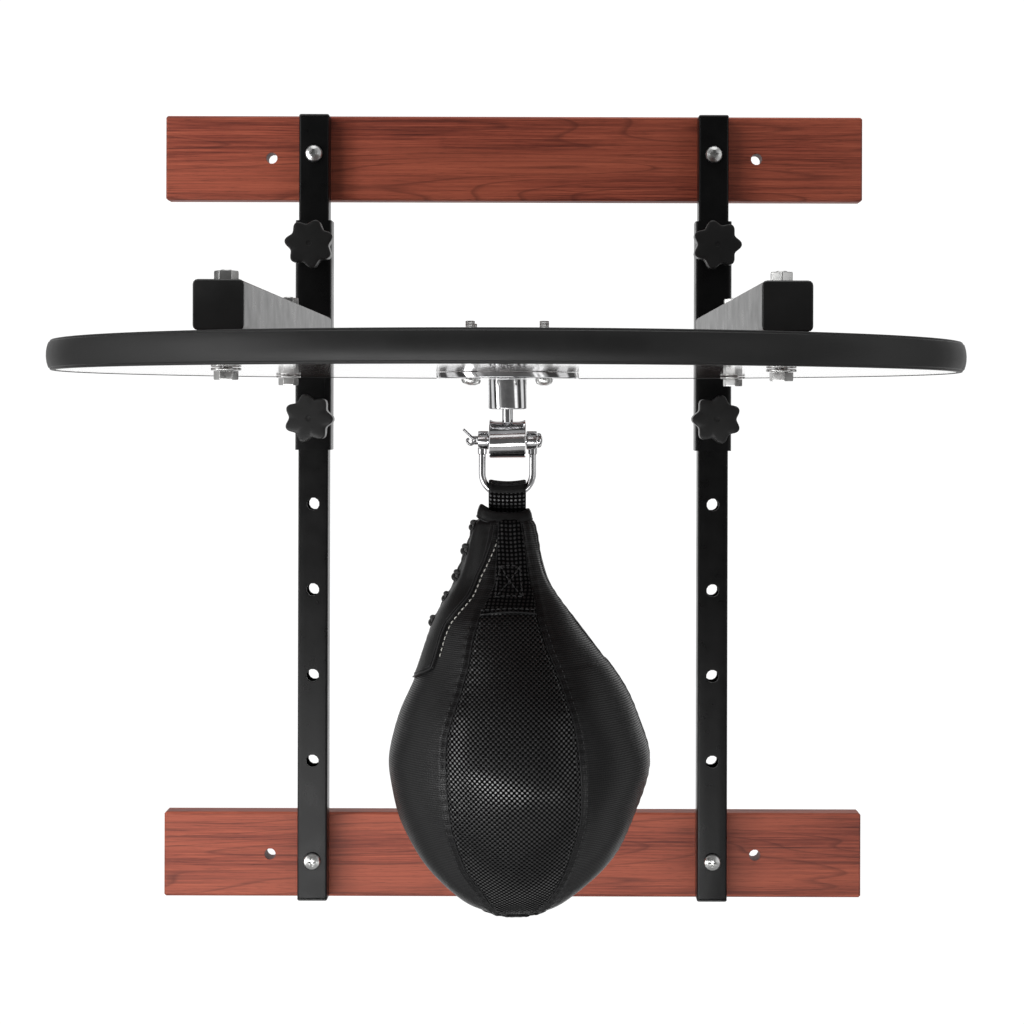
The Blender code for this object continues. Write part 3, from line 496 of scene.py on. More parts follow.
def screw_thread(thread, start, end):
    """The profile of a thread: (radius, height) for each root and both edges of each crest."""
    root, crest, pitch, crest_shares = thread
    profile = []
    while start < end:
        profile += [(root, start), *((crest, start + share * pitch) for share in crest_shares)]
        start += pitch
    return profile


# ------------------------------------------------------------ the hard pieces

BAND_OUTER, BAND_INNER = 0.3050, 0.2993
BAND_BULGE, BAND_LIP = 0.0023, 0.0012
BAND_CROWN = 2.2  # the power of its outline: higher is flatter in the middle
KNOB_TURN = {"upper_left": 174, "upper_right": 0, "lower_left": -2, "lower_right": 180}
KNOB_Z = {"upper": -0.0762, "lower": -0.2190}
KNOB_RADIUS, KNOB_LOBES, LOBE_HEIGHT, KNOB_SIDES = 0.0181, 7, 0.0020, 168
KNOB_THICKNESS, KNOB_FRONT_ROLL, KNOB_BACK_ROLL = 0.016, 0.0013, 0.0012
KNOB_BACK_INSETS = (0.0105, 0.0022)
KNOB_FACE = (0.0024, -0.00012)  # the face's inset from the lobes, and its depth
# Radius and depth of the shallow dish in the face and the pip in its middle.
KNOB_DISH = (
    (0.0130, -0.0003), (0.0070, -0.0004), (0.0022, -0.0004), (0.0019, 0.0001), (0.0003, 0.0002)
)  # fmt: skip
HUB_RADII, HUB_LENGTH = (0.0110, 0.0102), 0.026
# Radii of the root and the crest, pitch, and the crest's start and end as shares of it.
STUD_THREAD = (0.0042, 0.0047, 0.0012, (0.4, 0.6))
SCREW_THREAD = (0.00292, 0.00325, 0.0010, (0.35, 0.5))
WIRE_X, WIRE_BEND, WIRE_BOTTOM, WIRE_RADIUS = 0.0171, 0.014, -0.2682, 0.00235
ROOT_DROP, ROOT_RADIUS, ROOT_RIDGE = (0.0045, 0.0092), 0.00305, 0.00022  # the swaged roots
EYE_RADIUS, EYE_HOLE, EYE_EDGE, EYE_ENDS = 0.00635, 0.0034, 0.0007, (0.01275, 0.0200)
# The split pin's way, from the pivot's middle: one leg, its stretch in the bolt, and so on.
PIN_LEG = [(-0.0299, -0.0048, 0.0076), (-0.0258, -0.0046, 0.0038), (-0.0230, -0.0043, 0.0013)]
PIN_SHANK = [(-0.0219, -0.0034, 0.0007), (-0.0219, 0.0036, 0.0007)]
PIN_EYE = [(-0.0219, 0.0050, 0.0015), (-0.0219, 0.0068, 0.0013), (-0.0219, 0.0076, 0.0)]
PIN_HOOK = [
    (-0.0232, -0.0043, -0.0021), (-0.0250, -0.0046, -0.0028), (-0.0268, -0.0048, -0.0015),
    (-0.0272, -0.0048, 0.0004), (-0.0258, -0.0048, 0.0012),
]  # fmt: skip
PIN_RADIUS, PIN_SPREAD, PIN_SPREAD_Y = 0.00058, 0.00030, -0.0036
SADDLE_HALF, SADDLE_TURN, SADDLE_LIFTS = 0.0121, 38, (0.0006, 0.0001)
SADDLE_FLARE, FLARE_START, FLARE_LENGTH = 0.0014, 0.0070, 0.0051
BARREL_RADIUS = 0.0122


def make_edge_band():
    """The rubber band round the board, crowned outward with rounded lips."""
    low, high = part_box("edge_band")
    middle, half = (low.z + high.z) / 2, (high.z - low.z) / 2
    lip = []
    for turn in np.linspace(0, QUARTER, 5):
        reach = BAND_OUTER - BAND_BULGE - BAND_LIP * (1 - math.sin(turn))
        lip.append((reach, half - BAND_LIP * (1 - math.cos(turn))))
    profile = [(BAND_INNER, half), (BAND_INNER, -half)] + [(r, -z) for r, z in lip]
    for share in np.linspace(-0.82, 0.82, 13):
        profile.append((BAND_OUTER - BAND_BULGE * abs(share) ** BAND_CROWN, share * half))
    shape = Shape()
    shape.rings(lathe(profile + lip[::-1], 288, (0, BOARD_Y, middle), 2), looped=True)
    shape.piece("edge_band_fine", "carriage", "edge_rubber", "edge_rubber", ["edge_band"])


def star_ring(inset, y, turn, centre):
    angles = FULL_TURN * np.arange(KNOB_SIDES) / KNOB_SIDES
    radius = KNOB_RADIUS + LOBE_HEIGHT * np.cos(KNOB_LOBES * angles) - inset
    return ring_at(radius, angles + turn, y, centre)


def ring_at(radius, angles, y, centre):
    x, z = centre.x + radius * np.cos(angles), centre.z + radius * np.sin(angles)
    return np.stack([x, np.full(len(x), y), z], 1)


def make_knobs():
    """Seven-lobed knobs with rolled edges, a shallow dished face and a centre pip."""
    for place, degrees in KNOB_TURN.items():
        node = f"star_knob_{place}"
        low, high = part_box(node)
        front, back, hub_end = low.y, low.y + KNOB_THICKNESS, low.y + HUB_LENGTH
        height = KNOB_Z[place.split("_")[0]]
        centre = Vector((math.copysign(UPRIGHT_X, low.x), 0, height))
        outline = [(inset, back) for inset in KNOB_BACK_INSETS]
        for bend in np.linspace(0, QUARTER, 4):
            roll = KNOB_BACK_ROLL
            outline.append((roll * (1 - math.sin(bend)), back - roll * (1 - math.cos(bend))))
        for bend in np.linspace(0, QUARTER, 7):
            roll = KNOB_FRONT_ROLL
            outline.append((roll * (1 - math.cos(bend)), front + roll * (1 - math.sin(bend))))
        outline.append((KNOB_FACE[0], front + KNOB_FACE[1]))
        rings = [star_ring(inset, y, math.radians(degrees), centre) for inset, y in outline]
        face = rings[-1]
        angles = np.arctan2(face[:, 2] - centre.z, face[:, 0] - centre.x)
        rings += [ring_at(radius, angles, front + depth, centre) for radius, depth in KNOB_DISH]
        shape = Shape()
        shape.rings(rings)
        stud = [(HUB_RADII[0], back - 0.001), (HUB_RADII[0], back + 0.006)]
        stud += [(HUB_RADII[1], hub_end), (STUD_THREAD[1], hub_end)]
        stud += screw_thread(STUD_THREAD, hub_end + 0.0002, high.y - 0.0012)
        stud.append((0.0038, high.y))
        shape.rings(lathe(stud, 40, (centre.x, 0, centre.z), 1))
        shape.piece(f"knob_{place}", f"knob_{place}", "black_plastic", "black_plastic", [node])


def make_shackle():
    """The bent wire, its swaged roots and the two eyes round the pivot bolt."""
    right = [(WIRE_X, BOARD_Y, PIVOT_Z - 0.0030), (WIRE_X, BOARD_Y, PIVOT_Z - 0.0120)]
    for angle in np.linspace(0, QUARTER, 16):
        x = WIRE_X - WIRE_BEND * (1 - math.cos(angle))
        right.append((x, BOARD_Y, WIRE_BOTTOM + WIRE_BEND * (1 - math.sin(angle))))
    route = evenly(right + [(-x, y, z) for x, y, z in reversed(right)], 0.0006)
    drop = PIVOT_Z - route[:, 2]
    radii = np.full(len(route), WIRE_RADIUS)
    root = (drop > ROOT_DROP[0]) & (drop < ROOT_DROP[1])
    radii[root] = ROOT_RADIUS + ROOT_RIDGE * np.sin(drop[root] * FULL_TURN / 0.0012)
    shape = Shape()
    shape.rings(tube_rings(route, radii, 24))
    for side in (-1, 1):
        inner, outer = sorted(side * x for x in EYE_ENDS)
        corner = [(1, 0), (0.3, 0.3), (0, 1)]
        profile = [(EYE_RADIUS - a * EYE_EDGE, inner + b * EYE_EDGE) for a, b in corner]
        profile += [(EYE_RADIUS - a * EYE_EDGE, outer - b * EYE_EDGE) for a, b in corner[::-1]]
        profile = [(EYE_HOLE, inner), *profile, (EYE_HOLE, outer)]
        shape.rings(lathe(profile, 48, (0, BOARD_Y, PIVOT_Z), 0), looped=True)
    shape.piece("shackle_fine", "shackle", "chrome", "chrome", ["shackle"])


def make_cotter():
    """The split pin: both legs pass through the pivot bolt and spread in front of it."""
    back = [(x, y, -z) for x, y, z in reversed(PIN_SHANK + PIN_EYE[:-1])]
    route = evenly(smooth_curve(PIN_LEG + PIN_SHANK + PIN_EYE + back + PIN_HOOK, 8), 0.0003)
    spread = np.clip((PIN_SPREAD_Y - route[:, 1]) / 0.0008, 0, 1)
    radii = PIN_RADIUS + PIN_SPREAD * spread
    radii[[0, -1]] *= 0.5
    shape = Shape()
    shape.rings(tube_rings(route + np.array([0, BOARD_Y, PIVOT_Z]), radii, 12))
    shape.piece("cotter_pin_fine", "swivel", "chrome", "pin_steel", ["cotter_pin"])


def make_saddle():
    """The thin washer plate on top of the barrel, turned up at its ends."""
    across = np.linspace(-SADDLE_HALF, SADDLE_HALF, 41)
    turn = np.radians(np.linspace(-SADDLE_TURN, SADDLE_TURN, 21))
    x, turn = np.meshgrid(across, turn, indexing="ij")
    flare = SADDLE_FLARE * np.clip((np.abs(x) - FLARE_START) / FLARE_LENGTH, 0, 1) ** 2
    layers = []
    for lift in SADDLE_LIFTS:
        radius = BARREL_RADIUS + lift + flare
        y, z = BOARD_Y + radius * np.sin(turn), PIVOT_Z + radius * np.cos(turn)
        layers.append(np.stack([x, y, z], 2))
    shape = Shape()
    shape.slab(*layers, layers[0][:, :, :2])
    shape.piece("swivel_saddle", "swivel", "chrome", "chrome")


def make_screw_threads():
    """Thread on the ends of the screws that stand above the board."""
    shape = Shape()
    for place in ("front_left", "front_right", "rear_left", "rear_right"):
        low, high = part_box(f"swivel_screw_{place}")
        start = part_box(f"swivel_nut_{place}")[1].z - 0.001
        profile = [(0.0020, start)]
        profile += screw_thread(SCREW_THREAD, start, high.z - 0.0004)
        profile.append((0.0026, high.z + 0.0002))
        shape.rings(lathe(profile, 28, ((low.x + high.x) / 2, (low.y + high.y) / 2, 0), 2))
    shape.piece("swivel_screw_threads", "carriage", "zinc_steel", "zinc_steel")


# -------------------------------------------------------------------- the bag

# Height, half width and sideways lean, from inside the collar to the lowest point.
BAG_OUTLINE = [
    (-0.2812, 0.0148, -0.0012), (-0.2862, 0.0172, -0.0014), (-0.2905, 0.0202, -0.0018),
    (-0.3250, 0.0303, -0.0028), (-0.3544, 0.0490, -0.0010), (-0.3849, 0.0660, 0.0060),
    (-0.4160, 0.0820, 0.0086), (-0.4490, 0.0885, 0.0087), (-0.4853, 0.0805, 0.0077),
    (-0.5200, 0.0600, 0.0067), (-0.5420, 0.0370, 0.0065), (-0.5515, 0.0140, 0.0060),
    (-0.5532, 0.0006, 0.0055),
]  # fmt: skip
# Height and share of the half width, for the two seams at the front.
LEFT_SEAM = [
    (-0.2812, -0.22), (-0.2898, -0.214), (-0.3082, -0.193), (-0.3269, -0.173), (-0.3438, -0.363),
    (-0.3613, -0.433), (-0.3768, -0.476), (-0.3868, -0.514), (-0.4065, -0.545), (-0.4233, -0.563),
    (-0.4431, -0.545), (-0.4658, -0.536), (-0.4918, -0.531), (-0.5136, -0.523), (-0.5294, -0.45),
    (-0.5532, -0.42),
]  # fmt: skip
RIGHT_SEAM = [
    (-0.2812, 0.56), (-0.2899, 0.581), (-0.3103, 0.625), (-0.3311, 0.609), (-0.3478, 0.525),
    (-0.3682, 0.464), (-0.3841, 0.453), (-0.3987, 0.449), (-0.4139, 0.455), (-0.4411, 0.462),
    (-0.4653, 0.487), (-0.4804, 0.503), (-0.5106, 0.517), (-0.5532, 0.533),
]  # fmt: skip
# Height and share of the half width, along the white stitching of the lacing flap.
FLAP_STITCHES = [
    (-0.2900, -0.16), (-0.2987, -0.199), (-0.3127, -0.354), (-0.3220, -0.471), (-0.3351, -0.545),
    (-0.3443, -0.653), (-0.3530, -0.728), (-0.3630, -0.763), (-0.3702, -0.781), (-0.3821, -0.806),
    (-0.4000, -0.82),
]  # fmt: skip
SEAM_ANGLES = {"left": -95, "right": 85, "back_right": 145, "back_left": 205}
LACING_ANGLE = math.radians(-95)
ROW_SPACING = 0.0015
PANELS, PANEL_COLUMNS, FRONT_PANEL = 6, 44, 1
NECK_END, NECK_LENGTH = -0.350, 0.060  # the section turns from round to square along it
NECK_SQUARENESS, NECK_FLATNESS = 1.2, 0.30
SEAM_DEPTH = 0.0016  # how far the seams lie below the round of the panels
SIM_FRAMES, SIM_REACH = 20, 0.0018
CLOTH = {
    "quality": 5, "mass": 0.25, "tension_stiffness": 22, "compression_stiffness": 22,
    "shear_stiffness": 12, "bending_stiffness": 2.5, "vertex_group_mass": "pinned",
    "use_pressure": True, "uniform_pressure_force": 4,
}  # fmt: skip
# Heights and widths of what the leather does beside its seams, all in metres.
GROOVE, GROOVE_WIDTH = 0.0011, 0.0014
RIDGE, RIDGE_WIDTH, RIDGE_PLACE = 0.00045, 0.0020, 0.0040
PUCKER, PUCKER_WIDTH, PUCKER_SPACING = 0.00022, 0.0065, 0.0068
NECK_FOLD, NECK_FOLD_Z, NECK_FOLD_WIDTH = 0.0008, -0.318, 0.020
COLLAR_BOTTOM = -0.288
WELT_RADIUS, WELT_LIFT, PIPING_RADIUS = 0.00055, 0.00045, 0.00042
LAYER_TOP, LAYER_ROOT = -0.2850, 0.0007  # where the neck's layers start, and how deep they root
LAYER_SINK = 0.0001
PATCH_BOTTOM, PATCH_DIP, PATCH_LIFT, PATCH_RIM = -0.3470, 0.0012, 0.0011, (0.016, 0.03)
PATCH_STITCH_LIFT = 0.0012
SEAM_ALLOWANCE = 0.02  # radians between the neck patch's edge and the seam
FLAP_CORNER, FLAP_POINT, FLAP_LIFT, FLAP_RIM = -0.3821, -0.3930, 0.0013, (0.012, 0.016)
FLAP_MARGIN = 0.0026  # from the stitching to the flap's edge
# Height and share of the half width, at the corners of the box stitched on the neck patch.
BOX = {
    "top_left": (-0.3160, -0.05), "top_right": (-0.3160, 0.42),
    "low_left": (-0.3357, -0.131), "low_right": (-0.3357, 0.371),
}  # fmt: skip
BOWED_LINES = (
    ((-0.3438, -0.335), (-0.3438, 0.52)),
    (BOX["low_left"], BOX["low_right"]),
    (BOX["top_left"], BOX["top_right"]),
)
STRAIGHT_LINES = (
    (BOX["top_left"], BOX["low_left"]),
    (BOX["top_right"], BOX["low_right"]),
    (BOX["top_left"], BOX["low_right"]),
    (BOX["top_right"], BOX["low_left"]),
)
STITCH_STEP = 0.0002
STITCH_TAPER = np.array([0.35, 0.8, 1, 1.04, 1, 0.8, 0.35])
END_REACH, END_RIM, END_LIFT = 0.0235, 0.0022, 0.0007
LACE_HEIGHTS = (-0.2900, -0.3065, -0.3243, -0.3382, -0.3543)
LACE_RADIUS, LACE_REACH, BAR_LIFT, BAR_RISE, BAR_END = 0.0013, 0.0070, 0.0008, 0.0006, -0.0006
STRAND_OFFSET, STRAND_LIFT, STRAND_WAVE, STRAND_TURN = 0.0016, 0.0012, 0.0005, 0.0165
KNOT_LOOP, KNOT_RADIUS = (0.0034, 0.0023), 0.0017
KNOT_OFFSET, KNOT_TILT, KNOT_LIFT = 0.0014, 0.35, 0.0021
EYELET_RADIUS, EYELET_WIRE, EYELET_LIFT = 0.0027, 0.0006, 0.0013
COLLAR_SIDES, COLLAR_LEAN, COLLAR_LEVEL = 96, -0.0018, -0.2835
COLLAR_HALF, COLLAR_FLARE = 0.0168, 0.0022
# Height, tilt to the right and dip at the front and back, of its top and of its bottom.
COLLAR_ENDS = ((-0.2765, 0.0014, 0.0036), (-0.2846, 0.0010, 0.0038))
# How far down the collar, and how far outside its plain wall: its outside and then its inside.
COLLAR_PROFILE = [
    (0.0, -0.0004), (0.05, 0.0), (0.2, 0.0003), (0.45, 0.0005), (0.7, 0.0004), (0.8, 0.0001),
    (0.86, 0.0003), (0.93, 0.0004), (1.0, 0.0001), (1.0, -0.0014), (0.5, -0.0014), (0.0, -0.0014),
]  # fmt: skip
STRAP_ARCH_Z, STRAP_ARCH, STRAP_THICKNESS, STRAP_HALF = -0.2654, 0.0050, 0.0023, 0.0126
STRAP_JOIN_Z, STRAP_END_Z = -0.2850, -0.3010
STRAP_FOLD_Z = -0.2672  # the strap's weave is pressed smooth above this
STRAP_SAG, STRAP_EDGE = -0.0014, 0.0008


def neck_share(z):
    return np.clip((z - NECK_END) / NECK_LENGTH, 0, 1)


def neck_power(z):
    return 2 / (2 + NECK_SQUARENESS * neck_share(z))


def section(half, lean, z, angle):
    """A point of the bag's section: flattened and squarish at the neck, round below."""
    power = neck_power(z)
    s, c = np.sin(angle), np.cos(angle)
    x = lean + half * np.sign(s) * np.abs(s) ** power
    depth = half * (1 - NECK_FLATNESS * neck_share(z))
    y = BOARD_Y - depth * np.sign(c) * np.abs(c) ** power
    return np.stack(np.broadcast_arrays(x, y, z), -1)


def facing_angle(z, share):
    """The section angle at the front where x is this share of the half width."""
    return np.sign(share) * np.arcsin(np.abs(share) ** (1 / neck_power(z)))


def table(rows, z):
    heights, shares = np.array(rows).T
    return np.interp(-z, -heights, shares)


def grid_normals(points):
    """Outward normals of a grid that closes round its columns."""
    around = np.roll(points, -1, 1) - np.roll(points, 1, 1)
    down = np.gradient(points, axis=0)
    normals = np.cross(down, around)
    normals /= np.linalg.norm(normals, axis=2)[:, :, None] + 1e-12
    outward = points - points.mean(axis=1, keepdims=True)
    flip = np.sign((normals * outward).sum(axis=(0, 2)).mean())
    return normals * flip


def seam_angles(z):
    """The angle of each seam at each height, from the lacing round to itself."""
    left, right = (facing_angle(z, table(rows, z)) for rows in (LEFT_SEAM, RIGHT_SEAM))
    turn = {name: np.full_like(z, math.radians(value)) for name, value in SEAM_ANGLES.items()}
    seams = [turn["left"], left, right, turn["right"], turn["back_right"], turn["back_left"]]
    return np.stack([*seams, turn["left"] + FULL_TURN], 1)


def inflate(points, pinned):
    """How far each point moves when the panels are blown up between their pinned seams."""
    rows, columns = points.shape[:2]
    mesh = bpy.data.meshes.new("inflating")
    faces = grid_faces(rows, columns, True)
    mesh.from_pydata([tuple(p) for p in points.reshape(-1, 3)], [], faces)
    body = bmesh.new()
    body.from_mesh(mesh)
    bmesh.ops.contextual_create(body, geom=[e for e in body.edges if e.is_boundary])
    bmesh.ops.holes_fill(body, edges=[e for e in body.edges if e.is_boundary])
    bmesh.ops.recalc_face_normals(body, faces=body.faces)
    body.to_mesh(mesh)
    body.free()
    soft = put("inflating", mesh)
    scene = bpy.context.scene
    group = soft.vertex_groups.new(name="pinned")
    group.add([int(i) for i in np.flatnonzero(pinned.reshape(-1))], 1, "REPLACE")
    cloth = soft.modifiers.new("cloth", "CLOTH")
    for name, value in CLOTH.items():
        setattr(cloth.settings, name, value)
    cloth.settings.effector_weights.gravity = 0
    cloth.point_cache.frame_start, cloth.point_cache.frame_end = 1, SIM_FRAMES
    for frame_number in range(1, SIM_FRAMES + 1):
        scene.frame_set(frame_number)
    evaluated = soft.evaluated_get(bpy.context.evaluated_depsgraph_get())
    moved = np.zeros(len(evaluated.data.vertices) * 3)
    evaluated.data.vertices.foreach_get("co", moved)
    moved = moved.reshape(-1, 3)[: rows * columns].reshape(points.shape) - points
    length = np.linalg.norm(moved, axis=2, keepdims=True)
    moved *= np.minimum(1, SIM_REACH / np.maximum(length, 1e-9))
    scene.frame_set(1)
    bpy.data.objects.remove(soft)
    bpy.data.meshes.remove(mesh)
    return moved


def doubled(values):
    """A grid with a point added between each pair, closed round its columns."""
    rows, columns = values.shape[:2]
    wide = np.zeros((rows, columns * 2, 3))
    wide[:, 0::2] = values
    wide[:, 1::2] = (values + np.roll(values, -1, 1)) / 2
    tall = np.zeros((rows * 2 - 1, columns * 2, 3))
    tall[0::2] = wide
    tall[1::2] = (wide[:-1] + wide[1:]) / 2
    return tall


def hill(distance, width):
    return np.exp(-((distance / width) ** 2))


class BagSurface:
    """The finished skin of the bag, with lookups by height and angle."""

    def __init__(self):
        profile = evenly(smooth_curve(BAG_OUTLINE, 20), ROW_SPACING)
        self.z, self.half, self.lean = profile[:-1].T  # an odd count, so that it can be doubled
        self.seams = seam_angles(self.z)
        share = np.arange(PANEL_COLUMNS) / PANEL_COLUMNS
        first, last = self.seams[:, :-1, None], self.seams[:, 1:, None]
        self.angle = (first * (1 - share) + last * share).reshape(len(self.z), -1)
        z, half, lean = (values[:, None] for values in (self.z, self.half, self.lean))
        points = section(half, lean, z, self.angle)
        normals = grid_normals(points)
        arch = np.sin(np.pi * np.tile(share, PANELS))[None, :]
        depth = SEAM_DEPTH * np.clip((-0.285 - z) / 0.06, 0, 1) * np.clip(half / 0.05, 0, 1)
        points = points - normals * (depth * (1 - arch**0.7))[:, :, None]
        coarse = points[::2, ::2]
        pinned = np.zeros(coarse.shape[:2], bool)
        pinned[:, :: PANEL_COLUMNS // 2] = True
        pinned[:3] = pinned[-4:] = True
        swell = inflate(coarse, pinned)
        points = points + doubled(swell)
        self.points = points + grid_normals(points) * self.detail(points)[:, :, None]
        self.normals = grid_normals(self.points)

    def detail(self, points):
        """Seam grooves with their puckers, folds at the neck and the leather's unevenness."""
        rows = len(points)
        step = np.linalg.norm(np.roll(points, -1, 1) - points, axis=2)
        panels = step.reshape(rows, PANELS, PANEL_COLUMNS)
        before = np.cumsum(panels, 2) - panels
        width = panels.sum(2, keepdims=True)
        self.across = (before - width / 2).reshape(rows, -1)
        self.width = width[:, :, 0]
        seam = np.minimum(before, width - before).reshape(rows, -1)
        drop = np.linalg.norm(np.diff(points, axis=0), axis=2).mean(1)
        self.along = np.concatenate([[0], np.cumsum(drop)])
        z, angle = self.z[:, None], self.angle
        low = np.clip(self.half / 0.02, 0, 1)[:, None]
        groove = RIDGE * hill(seam - RIDGE_PLACE, RIDGE_WIDTH) - GROOVE * hill(seam, GROOVE_WIDTH)
        pucker = PUCKER * np.sin(self.along[:, None] * FULL_TURN / PUCKER_SPACING + 3 * angle)
        pucker *= hill(seam, PUCKER_WIDTH)
        fold = NECK_FOLD * np.cos(7 * angle + 40 * z) * hill(z - NECK_FOLD_Z, NECK_FOLD_WIDTH)
        fold *= np.clip(np.abs(angle) - 0.5, 0, 1)
        uneven = 0.00050 * np.sin(3 * angle + 46 * z + 1.0) * np.sin(61 * z + 2 * angle)
        uneven += 0.00030 * np.sin(7 * angle - 95 * z) * np.sin(83 * z + 0.6)
        right_side = 0.0009 * np.sin((z + 0.40) * FULL_TURN / 0.062) * (z < -0.38)
        right_side = right_side * np.clip(np.sin(angle), 0, 1) ** 3
        return (groove + pucker + fold + uneven + right_side) * low

    def locate(self, z, angle):
        """The row and the column of a place, both with their fractions."""
        z, angle = np.broadcast_arrays(np.asarray(z, float), np.asarray(angle, float))
        order = np.arange(len(self.z))
        row = np.interp(-z, -self.z, order)
        seams = np.stack([np.interp(row, order, seam) for seam in self.seams.T], -1)
        angle = seams[..., 0] + (angle - seams[..., 0]) % FULL_TURN
        panel = np.clip((angle[..., None] >= seams[..., 1:-1]).sum(-1), 0, PANELS - 1)
        first = np.take_along_axis(seams, panel[..., None], -1)[..., 0]
        last = np.take_along_axis(seams, panel[..., None] + 1, -1)[..., 0]
        return row, PANEL_COLUMNS * (panel + (angle - first) / (last - first))

    def look_up(self, values, z, angle):
        row, column = self.locate(z, angle)
        r = np.minimum(row.astype(int), len(self.z) - 2)
        c = column.astype(int)
        s, t = (row - r)[..., None], (column - c)[..., None]
        count = values.shape[1]
        upper = values[r, c % count] * (1 - t) + values[r, (c + 1) % count] * t
        lower = values[r + 1, c % count] * (1 - t) + values[r + 1, (c + 1) % count] * t
        return upper * (1 - s) + lower * s

    def at(self, z, angle, lift=0.0):
        lift = np.asarray(lift, float)
        normals = self.look_up(self.normals, z, angle)
        return self.look_up(self.points, z, angle) + normals * lift[..., None]

    def normal(self, z, angle):
        return self.look_up(self.normals, z, angle)

    def half_at(self, z):
        return np.interp(-z, -self.z, self.half)


def make_cover(bag):
    """The six sewn panels. The front one is woven, the others are finely ribbed."""
    rows, columns = bag.points.shape[:2]

    def corner_uv(row, column, panel):
        at_seam = column == (panel + 1) * PANEL_COLUMNS
        across = bag.width[row, panel] / 2 if at_seam else bag.across[row, column]
        return across, bag.along[row]

    faces = grid_faces(rows, columns, True)
    uvs, marks = [], []
    for index in range(len(faces)):
        r, c = divmod(index, columns)
        panel = c // PANEL_COLUMNS
        corners = ((r, c), (r, c + 1), (r + 1, c + 1), (r + 1, c))
        uvs.append([corner_uv(*corner, panel) for corner in corners])
        marks.append(int(panel != FRONT_PANEL))
    last = (rows - 1) * columns
    faces += [tuple(reversed(range(columns))), tuple(range(last, last + columns))]
    shape = Shape()
    shape.add(bag.points.reshape(-1, 3), faces, uvs + [[(0, 0)] * columns] * 2)
    shape.marks = marks + [1, 1]
    finishes = ["checked_leather", "ribbed_leather"]
    cover = shape.piece("bag_panels", "bag", "woven_leather", finishes, ["bag_cover"], ALL_SMOOTH)


def make_welts(bag):
    """A thin corded edge in each seam's groove, from below what covers it at the neck."""
    shape = Shape()
    for k in range(PANELS):
        start = {0: -0.392, 1: PATCH_BOTTOM, 2: PATCH_BOTTOM}.get(k, COLLAR_BOTTOM)
        keep = (bag.z < start) & (bag.half > 0.021)
        column = k * PANEL_COLUMNS
        route = bag.points[keep, column] + WELT_LIFT * bag.normals[keep, column]
        rounded_tube(shape, route, WELT_RADIUS)
    shape.piece("bag_welts", "bag", "smooth_leather", "welt_leather")


def border_spread(count, edge):
    """Shares from 0 to 1 with close steps at both ends, so that a layer's edge is round."""
    near = [0, 0.25 * edge, 0.6 * edge, edge]
    middle = list(np.linspace(edge, 1 - edge, count))[1:-1]
    return np.array(near + middle + [1 - s for s in reversed(near)])


def distances(points, axis):
    """Distance along a grid's rows or columns from where each starts."""
    steps = np.linalg.norm(np.diff(points, axis=axis), axis=2)
    return np.insert(np.cumsum(steps, axis), 0, 0, axis)


def layer(shape, bag, z, angle, lift, edge_rows, edge_columns):
    """A leather layer on the bag over a grid of heights and angles, rounded at its rim."""
    inset = np.minimum.outer(np.minimum(edge_rows, 1), np.minimum(edge_columns, 1))
    top_lift = lift * np.sqrt(np.clip(1 - (1 - inset) ** 2, 0, 1)) - LAYER_SINK
    top = bag.at(z, angle, top_lift)
    across = distances(top, 1)
    uv = np.stack([across - across[:, -1:] / 2, distances(top, 0)], 2)
    shape.slab(top, bag.at(z, angle, np.full(z.shape, -LAYER_ROOT)), uv)


def rim(shares, edge):
    """How far into the layer each share lies, from 0 at its border to 1."""
    return np.minimum(shares, 1 - shares) / edge


def make_neck_patch(bag):
    """The woven piece over the front of the neck, between the two front seams."""
    down, over = border_spread(60, PATCH_RIM[0]), border_spread(40, PATCH_RIM[1])
    bottom = PATCH_BOTTOM + PATCH_DIP * np.cos(np.pi * (over - 0.5))[None, :]
    z = LAYER_TOP + (bottom - LAYER_TOP) * down[:, None]
    left = facing_angle(z, table(LEFT_SEAM, z)) + SEAM_ALLOWANCE
    right = facing_angle(z, table(RIGHT_SEAM, z)) - SEAM_ALLOWANCE
    angle = left + (right - left) * over[None, :]
    shape = Shape()
    layer(shape, bag, z, angle, PATCH_LIFT, rim(down, PATCH_RIM[0]), rim(over, PATCH_RIM[1]))
    shape.piece("bag_neck_patch", "bag", "woven_leather", "woven_leather", angle=ALL_SMOOTH)
    shape = Shape()
    rounded_tube(shape, bag.at(z[-3], angle[-3], PATCH_LIFT)[3:-3], 0.00062)
    for c in (1, -2):
        rounded_tube(shape, bag.at(z[3:-3, c], angle[3:-3, c], 0.0007), 0.0005)
    shape.piece("bag_patch_welt", "bag", "smooth_leather", "welt_leather")


def flap_edges(z):
    """The front and back edges of the lacing flap, mirrored about the lacing."""
    half = np.interp(-z, (0.285, 0.40), (0.022, 0.066))
    front = facing_angle(z, table(FLAP_STITCHES, z)) - FLAP_MARGIN / half
    return front, 2 * LACING_ANGLE - front


